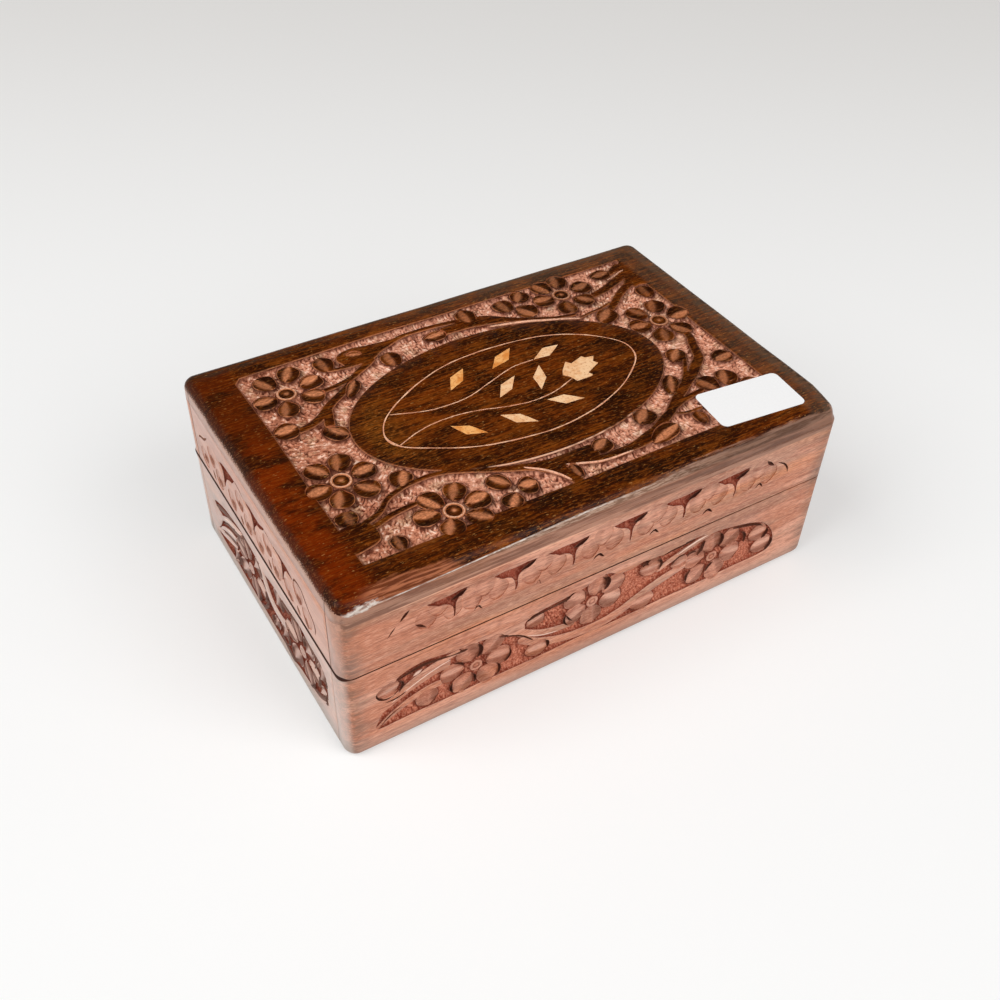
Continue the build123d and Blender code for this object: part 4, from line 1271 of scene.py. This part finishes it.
def makeInlays(brass, orangeBrass, wire):
    rng = np.random.default_rng(8)
    made = []
    for name, closed in (("oval", True), ("stem_upper", False), ("stem_lower", False)):
        band = wireBand(inlay[name], closed, inlay["wire"][name], rng)
        node = "inlay_" + name + ("_line" if closed else "")
        made.append((node, slab(name.replace("stem_", "stem") + "Wire", band, wire, 0.08)))
    shapes = [(f"inlay_leaf_{i}", f"inlayLeaf{i}", p) for i, p in enumerate(inlay["leaves"], 1)]
    for node, name, points in shapes + [("inlay_tulip", "inlayTulip", inlay["tulip"])]:
        loop = denseLoop(points, 1.2)
        if signedArea(loop) < 0:
            loop = loop[::-1]
        tone = orangeBrass if node[-1] in "126" else brass
        made.append((node, slab(name, [wobbled(loop, 0.07, rng)], tone, 0.1)))
    for node, piece in made:
        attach(piece, "lid")
        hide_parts(node)


label = {"place": (77.1, -50.1), "size": (38.1, 21.2), "radius": 2.5, "turn": -5.3, "thick": 0.12,
         "cuts": range(60, 96, 3)}


def makeLabel(paper):
    d = label
    clearSelection()
    x, y = d["place"]
    bpy.ops.mesh.primitive_cube_add(size=1, location=(x * mm, y * mm, (form["top"] + d["thick"] / 2) * mm),
                                    rotation=(0, 0, math.radians(d["turn"])))
    piece = bpy.context.object
    piece.name = piece.data.name = "blankLabel"
    piece.scale = (d["size"][0] * mm, d["size"][1] * mm, d["thick"] * mm)
    bpy.ops.object.transform_apply(location=True, rotation=True, scale=True)
    bevelEdges(piece, upright, d["radius"], 8)
    cutAcross(piece, 0, d["cuts"])
    smooth(piece)
    piece.data.materials.append(paper)
    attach(piece, "lid")
    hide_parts("paper_label")


def bareWood(m, along):
    # the red-brown wood of the box without stain; along is the axis that its grain follows
    fine, wide = ((s, 1, 1) if along == "X" else (1, s, 1) for s in (0.06, 0.14))
    x, y, z = (m.axis(k) * 1000 for k in "XYZ")
    streaks = m.noise(560, fine, detail=4, rough=0.64, distortion=0.3)
    grain = m.noise(2100, wide, detail=2, rough=0.6)
    band = m.noise(110, wide, place=(0, 2, 0))
    warm = m.noise(48, wide, place=(1, 0, 3))
    smoke = m.noise(56, wide, detail=4, rough=0.6, place=(7, 0, 1))
    stray = (smoke - 0.5) * 10
    foot = (z + stray).under(2, 11)
    corner = (x.size() + stray).between(96, 104) * (y.size() + stray).between(59, 67)
    front = (-y).between(66, 69)
    colour = m.paint(
        band.tones(0.42, 0.58, (194, 122, 90), (220, 156, 128)),
        (warm.between(0.49, 0.6) * z.between(8, 16) * 0.6, (222, 136, 78)),
        (smoke.between(0.5, 0.6) * 0.5, (152, 116, 94)),
        (streaks.between(0.5, 0.62) * 0.5, (150, 78, 52)),
        (grain.between(0.5, 0.64) * 0.4, (120, 62, 42)),
        (grain.under(0.36, 0.48) * 0.3, (240, 186, 156)),
        # greyer at the foot and the upright corners
        (foot * 0.6, (z + stray * 0.3).tones(1, 5, (136, 112, 98), (172, 140, 124))),
        (corner * (0.25 + streaks.between(0.42, 0.58) * 0.5), (128, 94, 76)))
    # a rubbed grey-brown band under the front edge of the lid
    rubbed = (z + stray * 0.12).between(69.4, 70.2) * front
    pale = (z + stray * 0.2).between(74.8, 76.6) * front * x.between(-64, -36)
    weathered = m.mix(x.between(8, 50) * 0.85, grain.tones(0.42, 0.58, (178, 148, 128), (120, 90, 72)),
                      streaks.tones(0.42, 0.58, (128, 94, 76), (80, 54, 40)))
    smudge = (z - 73.8 + stray * 0.1).size().under(0.4, 1.6) * front * x.between(-50, 20)
    # painted sheen: the left end is painted paler, and greyer on the box than on the lid, as glancing light
    # whitens it
    left = (-x + y.between(58, 63) * 6).between(104.5, 107)
    light = (z - 69.4).size().under(0.1, 0.4) * front * x.under(-20, 5) * x.between(-96, -80)
    colour = m.paint(
        colour,
        (rubbed * 0.8, streaks.tones(0.44, 0.56, (164, 120, 98), (116, 78, 60))),
        (pale * 0.85, weathered),
        (smudge * 0.35, (104, 78, 66)),
        (rubbed * x.between(30, 90) * 0.3, (84, 56, 42)),
        (left * 0.5, z.tones(42, 46, (210, 192, 182), (200, 150, 128))),
        (left * (z + stray).under(3, 12) * 0.75, (146, 130, 118)),
        (left * (z + stray * 0.2).between(70.5, 77.5) * 0.65, (160, 116, 90)),
        (light * 0.6, (232, 178, 146)))
    return colour, streaks, grain, (x, y, z)


def jointAndSeamShadeLines(m, colour, place):
    # the dark hairlines where the boards butt, and painted shade in the seam where lid and box meet, wider on
    # the left end
    x, y, z = place
    seam = ((z - form["seam"]).size() - (-x).between(104, 107) * 0.8).under(0.18, 0.5)
    butt = (y.size() - form["innerDepth"]).size().under(0.12, 0.4) * x.size().between(106.6, 107)
    butt = butt * (z.between(40, 46) * 0.65 + 0.2)
    top = (z - form["underTop"]).size().under(0.08, 0.25) * 0.3
    # 1 on the outside of the box
    rim = ((x.size() - 102.5).most(0) ** 2 + (y.size() - 65).most(0) ** 2).between(21.6, 23.2)
    lines = (seam.most(top) * rim).most(butt)
    amount = lines * (0.95 - x.between(30, 90) * (-y).between(69, 69.9) * 0.4)
    return m.mix(amount, colour, (44, 10, 4)), lines


innerTone = (168, 112, 84)   # over the inner faces of the boards


def carvedSideWood(name, along):
    m = Material(name)
    raw, worn, dark = m.attribute("finish")
    colour, streaks, grain, place = bareWood(m, along)
    x, y, z = place
    pores = m.noise(1500, detail=2, place=(2, 0, 0))
    short = x.size().between(104, 105.5)
    # painted highlight on the crests of the tool marks and painted shade in their troughs, in the gaps of the
    # band and over the ground of the short boards
    sunk = m.paint(
        m.mix(worn, (150, 66, 44), (210, 128, 98)),
        (pores.between(0.5, 0.6) * 0.4, (222, 158, 130)),
        (pores.under(0.38, 0.48) * 0.5, (124, 56, 36)),
        (z.between(57, 60) * 0.5, (126, 42, 26)),
        (short * 0.6, (104, 48, 36)))
    # rubbed: pale cut and rubbed wood, with painted highlights on petal facets and stem edges; dark below is
    # painted shade
    rubbed = worn * worn * (1 - raw) * 0.9 + worn * short * (1 - raw) * 0.3
    colour = m.paint(
        colour,
        (raw, sunk),
        (rubbed.clamp(), (238, 206, 188)),
        ((dark * (0.95 - short * 0.25)).clamp(), (56, 14, 6)))
    colour, lines = jointAndSeamShadeLines(m, colour, place)
    outer = (x.size() - 101).most(y.size() - 63.5).between(0, 1)   # 0 on the inner faces of the boards
    # the short boards and the back corners are glossier
    ends = (x.size() + y.between(58, 64) * 6).between(104.5, 107) * 0.65 + 0.35
    return m.finish(
        Base_Color=m.mix((1 - outer) * 0.5, colour, innerTone),
        Roughness=(0.5 + raw * 0.2 + (dark + lines) * 0.5 + grain * 0.1).clamp(),
        Specular_IOR_Level=0.2,
        Coat_Weight=(outer * ends * (1 - raw).clamp() * (1 - dark) * (1 - lines)).clamp(),
        Coat_Roughness=0.28,
        Normal=m.bump(grain * 0.6 + streaks * 0.6, 0.4, 0.00014))


def stainedTop(m, place, streaks, grain, blotch):
    # golden in the oval field, red along the left border, darker to the right and the back
    x, y, _ = place
    cx, _, a, b = lidCarving["medallion"]
    cloud = m.noise(26, (0.7, 1, 1), detail=2, place=(3, 7, 0))
    fleck = m.noise(1500, (0.35, 1, 1), detail=2, place=(5, 0, 2)).between(0.65, 0.7)
    patch = m.noise(150, (0.4, 1, 1), rough=0.6, place=(8, 2, 0))
    gold = ((x * (1 / a)) ** 2 + (y * (1 / b)) ** 2).under(0.1, 1.0)
    red = x.under(-97, -86)
    tone = (cloud.between(0.36, 0.64) * 0.5 + gold * (1 - x.between(10, 70) * 0.5) * 0.5
            + blotch.between(0.4, 0.6) * 0.35 - 0.15 - (-y).between(2, 30) * gold.between(0, 0.2) * 0.25)
    tip = (-x).between(40, 62) * gold.between(0, 0.2)
    # painted highlight along the rounded front arris of the oval
    reach = ((x - cx) * (1 / a)) ** 2 + (y * (1 / b)) ** 2
    lipHighlight = (reach + (fleck - 0.5) * 0.004).between(0.976, 0.988) * reach.under(1.0, 1.02)
    lipHighlight = lipHighlight * x.between(-38, -24) * x.under(24, 38) * (-y).between(24, 30)
    veins = streaks.between(0.44, 0.56)
    # painted sheen: a grey reflection along the right and back borders
    sheen = (x.between(97, 101.5) * (0.4 + veins * 0.6)).most(
        y.between(61, 65.5) * veins * (0.3 + x.between(-60, 70) * 0.9))
    sheen = sheen.most(x.between(91, 94) * 0.3).most(y.between(58, 60) * x.between(-60, 60) * 0.35)
    # the rounded edge: speckled at the left, greyed at the right and the back with a painted reflection
    atLeft = (-x + (grain - 0.5) * 5).between(103.6, 105.2)
    atRight = x.between(102.6, 104).most(x.between(94, 102) * streaks.between(0.4, 0.6) * 0.6)
    atBack = y.between(65, 66.6).most(y.between(60, 66) * streaks.between(0.42, 0.6) * 0.6)
    # rubbed through to pink over the front edge at the left
    pink = x.between(-100, -92) * x.under(-66, -58) * (-y + (blotch - 0.5) * 16).between(65, 67.4)
    brown = m.paint(
        m.mix(tone.clamp(), (56, 18, 3), (106, 44, 4)),
        (patch.between(0.5, 0.62) * (1 - red) * 0.7, (38, 14, 4)),
        (patch.under(0.36, 0.5) * (1 - red) * 0.7, (118, 58, 10)),
        (tip * 0.6, (124, 72, 20)),
        (red * 0.85, blotch.tones(0.36, 0.6, (88, 25, 1), (120, 39, 1))),
        (red * y.between(-10, 40) * 0.55, (56, 22, 1)),
        (blotch.under(0.38, 0.5) * 0.7, (31, 11, 4)),
        (streaks.between(0.5, 0.6) * (0.7 - red * 0.42), (35, 12, 3)),
        (grain.between(0.54, 0.64) * (0.34 - red * 0.14 + tip * 0.4), (166, 94, 34)),
        (grain.under(0.38, 0.46) * (0.4 - red * 0.16), (27, 9, 4)),
        (streaks.under(0.37, 0.46) * (0.4 - red * 0.16), (142, 72, 20)),
        (fleck * 0.4, (196, 144, 84)),
        (lipHighlight * blotch.between(0.4, 0.5), (226, 182, 154)),
        (sheen * 0.42, (140, 116, 94)),
        (atLeft * 0.6, grain.tones(0.54, 0.62, (46, 22, 10), (86, 54, 34))),
        (atRight * 0.75, streaks.tones(0.46, 0.54, (124, 94, 70), (54, 33, 21))),
        (atBack * (0.2 + x.between(-40, 80) * 0.5), streaks.tones(0.46, 0.54, (118, 86, 62), (52, 31, 18))),
        (pink * 0.75, streaks.tones(0.42, 0.58, (178, 108, 74), (112, 56, 30))))
    return brown, pink


def rawGround(m, x, worn):
    # the bare wood at the bottom of the carving; returns its colour and its fibres
    tint = m.noise(130, rough=0.6, place=(0, 4, 0))
    fibre = m.noise(1500, (0.6, 1, 1), rough=0.6)
    chips = m.noise(430, detail=4, rough=0.7, place=(1, 4, 0))
    return m.paint(
        m.mix(tint.between(0.52, 0.64) * 0.8, (220, 148, 116), (212, 170, 134)),
        ((-x).between(58, 80) * 0.3, (150, 88, 60)),
        ((x + 78).between(0, 44) * 0.3, (240, 178, 150)),
        (fibre.between(0.48, 0.6) * 0.4, (146, 74, 48)),
        (chips.between(0.53, 0.62) * 0.6, (134, 68, 44)),
        # painted shade in the troughs of the tool marks and painted highlight on their crests
        ((1 - worn).between(0.45, 0.95) * (0.42 + chips.between(0.4, 0.56) * 0.45), (86, 34, 18)),
        (chips.under(0.38, 0.5) * worn.between(0.3, 0.8) * 0.9, (254, 216, 192))), fibre


topWear = {
    "inside": (72.1, 72.3),              # heights where the look of the inner faces gives way
    "stainEnd": 76.1,                    # lowest height of the stain
    "whiteArris": (-97, -90, -30, 26),   # starts, is full, fades and is gone along the front
    "bruise": (-97.5, 76.3, 8, 1.9),     # middle along the front and up, half sizes
}


def darkPolishedWood(name):
    d = topWear
    m = Material(name)
    raw, worn, dark = m.attribute("finish")
    side, streaksBelow, grainBelow, place = bareWood(m, "X")
    side, lines = jointAndSeamShadeLines(m, side, place)
    x, y, z = place
    side = m.mix(z.under(*d["inside"]) * 0.6, side, innerTone)
    streaks = m.noise(1150, (0.07, 1, 1), rough=0.6, distortion=0.4)
    grain = m.noise(1900, (0.22, 1, 1), detail=2, rough=0.6)
    blotch = m.noise(85, (0.5, 1, 1), detail=4, rough=0.62, place=(3, 1, 0))
    brown, pink = stainedTop(m, place, streaks, grain, blotch)
    pale, fibre = rawGround(m, x, worn)
    edgeWear = (blotch + (fibre - 0.5) * 0.5).between(0.46, 0.56)
    # rubbed: pale wood where edges and cuts are rubbed, with painted highlights on the petal facets and the
    # crests of the tool marks, weaker to the right; dark is painted shade
    rubbed = worn * (1 - raw) * (0.64 + edgeWear * 0.25 + fibre.between(0.4, 0.6) * 0.35)
    colour = m.paint(
        m.mix(raw, brown, pale),
        ((rubbed * (1 - x.between(-10, 70) * 0.35)).clamp(),
         worn.tones(0.85, 0.97, (220, 140, 96), (234, 182, 152))),
        ((dark * 0.95).clamp(), m.mix(raw, (31, 11, 4), (50, 16, 7))))
    # the height at which the stain ends: crisp along the front, soft along the left
    front = (-y).between(66, 69)
    left = (-x).between(103.8, 106) * (1 - front)
    ends = x.between(-95, -10) * 2.0 + x.between(0, 60) * 0.8 - x.between(90, 106) * 3.5
    ends = ends * front + left * 0.9 + d["stainEnd"]
    above = z - ends + (grain - 0.5) * (left * 4 + 0.8) + (blotch - 0.5) * left * 3
    above = above * (1 - left * 0.84)
    ragged = (above - 1.0 + (streaks - 0.5) * 9).between(-1.2, 1.0)
    stain = (above.between(-0.12, 0.12) * x.under(14, 44)
             + ragged * x.between(14, 44) * above.between(-0.4, 0.2))
    # the arris along the front edge is painted white as rubbed wood with a painted glint, and there is a
    # chalky bruise at the corner
    start, full, fade, gone = d["whiteArris"]
    arris = (z - ends + 0.3).size().under(0.1, 0.4) * front * x.under(fade, gone)
    arris = arris * x.between(start, full) * (0.3 + grain.between(0.42, 0.56) * 0.7)
    feather = m.noise(900, (0.35, 0.8, 0.8), detail=4, rough=0.7, place=(0, 3, 0))
    atX, atZ, wide, tall = d["bruise"]
    bruise = (1 - ((x - atX) * (1 / wide)) ** 2) - ((z - atZ - (x - atX) * 0.06) * (1 / tall)) ** 2
    bruise = (bruise + (feather - 0.5) * 2.6).between(0.0, 1.1) * front
    chalkAndGlint = (arris * (0.5 + blotch.between(0.42, 0.54) * 0.4)).most(
        bruise * (0.35 + feather.between(0.44, 0.56) * 0.5))
    bare = (raw + worn * 0.6 + chalkAndGlint + pink * 0.5).clamp()
    glossy = x.size().between(102.5, 105.5) * 0.85 + 0.15
    return m.finish(
        Base_Color=m.mix(chalkAndGlint, m.mix(stain, side, colour), (226, 216, 206)),
        Roughness=m.mix(stain, 0.42 + grainBelow * 0.1, 0.3 + bare * 0.45 + grain * 0.1),
        Specular_IOR_Level=0.08,
        Coat_Weight=((1 - stain) * (1 - lines) * (1 - chalkAndGlint) * glossy * (1 - front * 0.7)).clamp(),
        Coat_Roughness=0.28,
        Normal=m.bump(m.mix(stain, grainBelow * 0.6 + streaksBelow * 0.6, grain * 0.5 + streaks * 0.5),
                      0.35, 0.00013))


def dulledBrass(name, low, high, spots):
    m = Material(name)
    cloud, spot = m.noise(220, rough=0.6), m.noise(900, detail=2, place=(2, 2, 0))
    colour = m.mix(spot.between(0.54, 0.66) * 0.5, cloud.tones(0.38, 0.62, low, high), spots)
    return m.finish(Base_Color=colour, Roughness=0.5 + cloud * 0.2, Metallic=0.0,
                    Normal=m.bump(spot, 0.2, 0.00008))


def labelPaper(name):
    m = Material(name)
    fibre = m.noise(1400, rough=0.7)
    return m.finish(Base_Color=fibre.tones(0.3, 0.7, (250, 249, 248), (254, 253, 252)),
                    Roughness=0.55 + fibre * 0.1, Normal=m.bump(fibre, 0.1, 0.00003))


def hingeBrass(name):
    m = Material(name)
    cloud = m.noise(400, detail=4, rough=0.6)
    return m.finish(Base_Color=cloud.tones(0.35, 0.7, (196, 158, 88), (140, 104, 52)), Metallic=1.0,
                    Roughness=0.28 + cloud * 0.25, Normal=m.bump(cloud, 0.15, 0.00005))


def plainInnerWood(name):
    m = Material(name)
    streaks, cloud = m.noise(500, (0.05, 1, 1), detail=4, rough=0.6), m.noise(60, (0.2, 1, 1), detail=2)
    colour = m.mix(cloud.between(0.45, 0.7) * 0.5,
                   streaks.tones(0.3, 0.7, (188, 134, 104), (158, 104, 78)), (134, 84, 62))
    return m.finish(Base_Color=colour, Roughness=0.6 + streaks * 0.15, Normal=m.bump(streaks, 0.3, 0.00015))


topWood = darkPolishedWood("polishedDarkWood")
sideWood = {"X": carvedSideWood("carvedSideWoodLong", "X"), "Y": carvedSideWood("carvedSideWoodShort", "Y")}
print("woods ready")

makeTopBoard(topWood)
print("top board carved")
for i, (part, side) in enumerate((p, s) for p in ("box", "lid") for s in ("front", "left", "right", "back")):
    makeWall(part, side, 40 + 10 * i)
print("side boards carved")
makeInlays(dulledBrass("dulledBrass", (252, 206, 158), (240, 180, 126), (190, 112, 64)),
           dulledBrass("orangeBrass", (250, 182, 108), (226, 140, 60), (172, 88, 34)),
           dulledBrass("rosyWire", (250, 196, 158), (222, 150, 112), (130, 70, 44)))
makeLabel(labelPaper("labelPaper"))
hingeMetal, innerWood = hingeBrass("hingeBrass"), plainInnerWood("plainInnerWood")
for node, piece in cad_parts.items():
    if node.startswith("hinge") or node == "box_bottom_board":
        piece.data.materials.clear()
        piece.data.materials.append(hingeMetal if node.startswith("hinge") else innerWood)
print("inlays, label and hinges ready")


room = {
    "floor": 3.0,
    "away": (0.539, 0.842),         # the way the camera looks, on the floor
    # place, size, power
    "lamps": [((-1.62, 0.09, 1.71), 1.6, 32), ((0.81, -1.71, 1.53), 1.6, 28.8)],
    "aim": (0, 0, 0.04),
    "dim": (0.396, 0.618, 0.679),   # the dark part of the room, which the polished lid mirrors
}


def makeFloor():
    m = Material("paleFloor")
    far = m.axis("X") * room["away"][0] + m.axis("Y") * room["away"][1]
    # painted falloff: the floor is painted darker farther from the camera
    m.finish(Base_Color=far.tones(0.2, 1.3, (250, 250, 249), (234, 230, 226)), Roughness=0.6,
             Specular_IOR_Level=0.2)
    # painted light: to the camera the floor also glows a little, which lightens its shadows, and the glow is
    # painted darker farther away
    seen = m.node("ShaderNodeLightPath", {}, {}, "Is Camera Ray")
    backdrop = far.tones(-0.1, 0.6, (1, 1, 0.99, 1), (224, 221, 217))
    glow = m.node("ShaderNodeEmission", {}, {"Color": backdrop, "Strength": 1.0})
    shown = m.node("ShaderNodeMixShader", {}, [seen * 0.35, Link(m, m.shader.outputs[0]), glow])
    m.plug(shown, m.tree.nodes["Material Output"].inputs["Surface"])
    bpy.ops.mesh.primitive_plane_add(size=room["floor"] * 2)
    floor = bpy.context.object
    floor.name = "paleFloor"
    floor.data.materials.append(m.material)


def addLamp(place, size, power):
    bpy.ops.object.light_add(type="AREA", location=place)
    lamp = bpy.context.object
    lamp.data.size = size
    lamp.data.energy = power
    lamp.rotation_euler = (Vector(room["aim"]) - Vector(place)).to_track_quat("-Z", "Y").to_euler()


class Room(Material):
    # the same node helpers on the world's tree
    def __init__(self, name):
        self.material = bpy.data.worlds.new(name)
        bpy.context.scene.world = self.material
        self.start("Background", "Generated")


def makeSky():
    sky = Room("softRoom")
    toDim = sky.node("ShaderNodeVectorMath", {"operation": "DOT_PRODUCT"}, [sky.coords, room["dim"]], "Value")
    seen = sky.node("ShaderNodeLightPath", {}, {}, "Is Camera Ray")
    grey = toDim.tones(0.62, 0.9, (0.42, 0.42, 0.425, 1), (0.03, 0.03, 0.03, 1))
    sky.finish(Color=sky.mix(seen, grey, (0.93, 0.93, 0.925, 1)), Strength=1.0)


makeFloor()
for lamp in room["lamps"]:
    addLamp(*lamp)
makeSky()
bpy.context.scene.view_settings.view_transform = "Standard"
print("room ready")
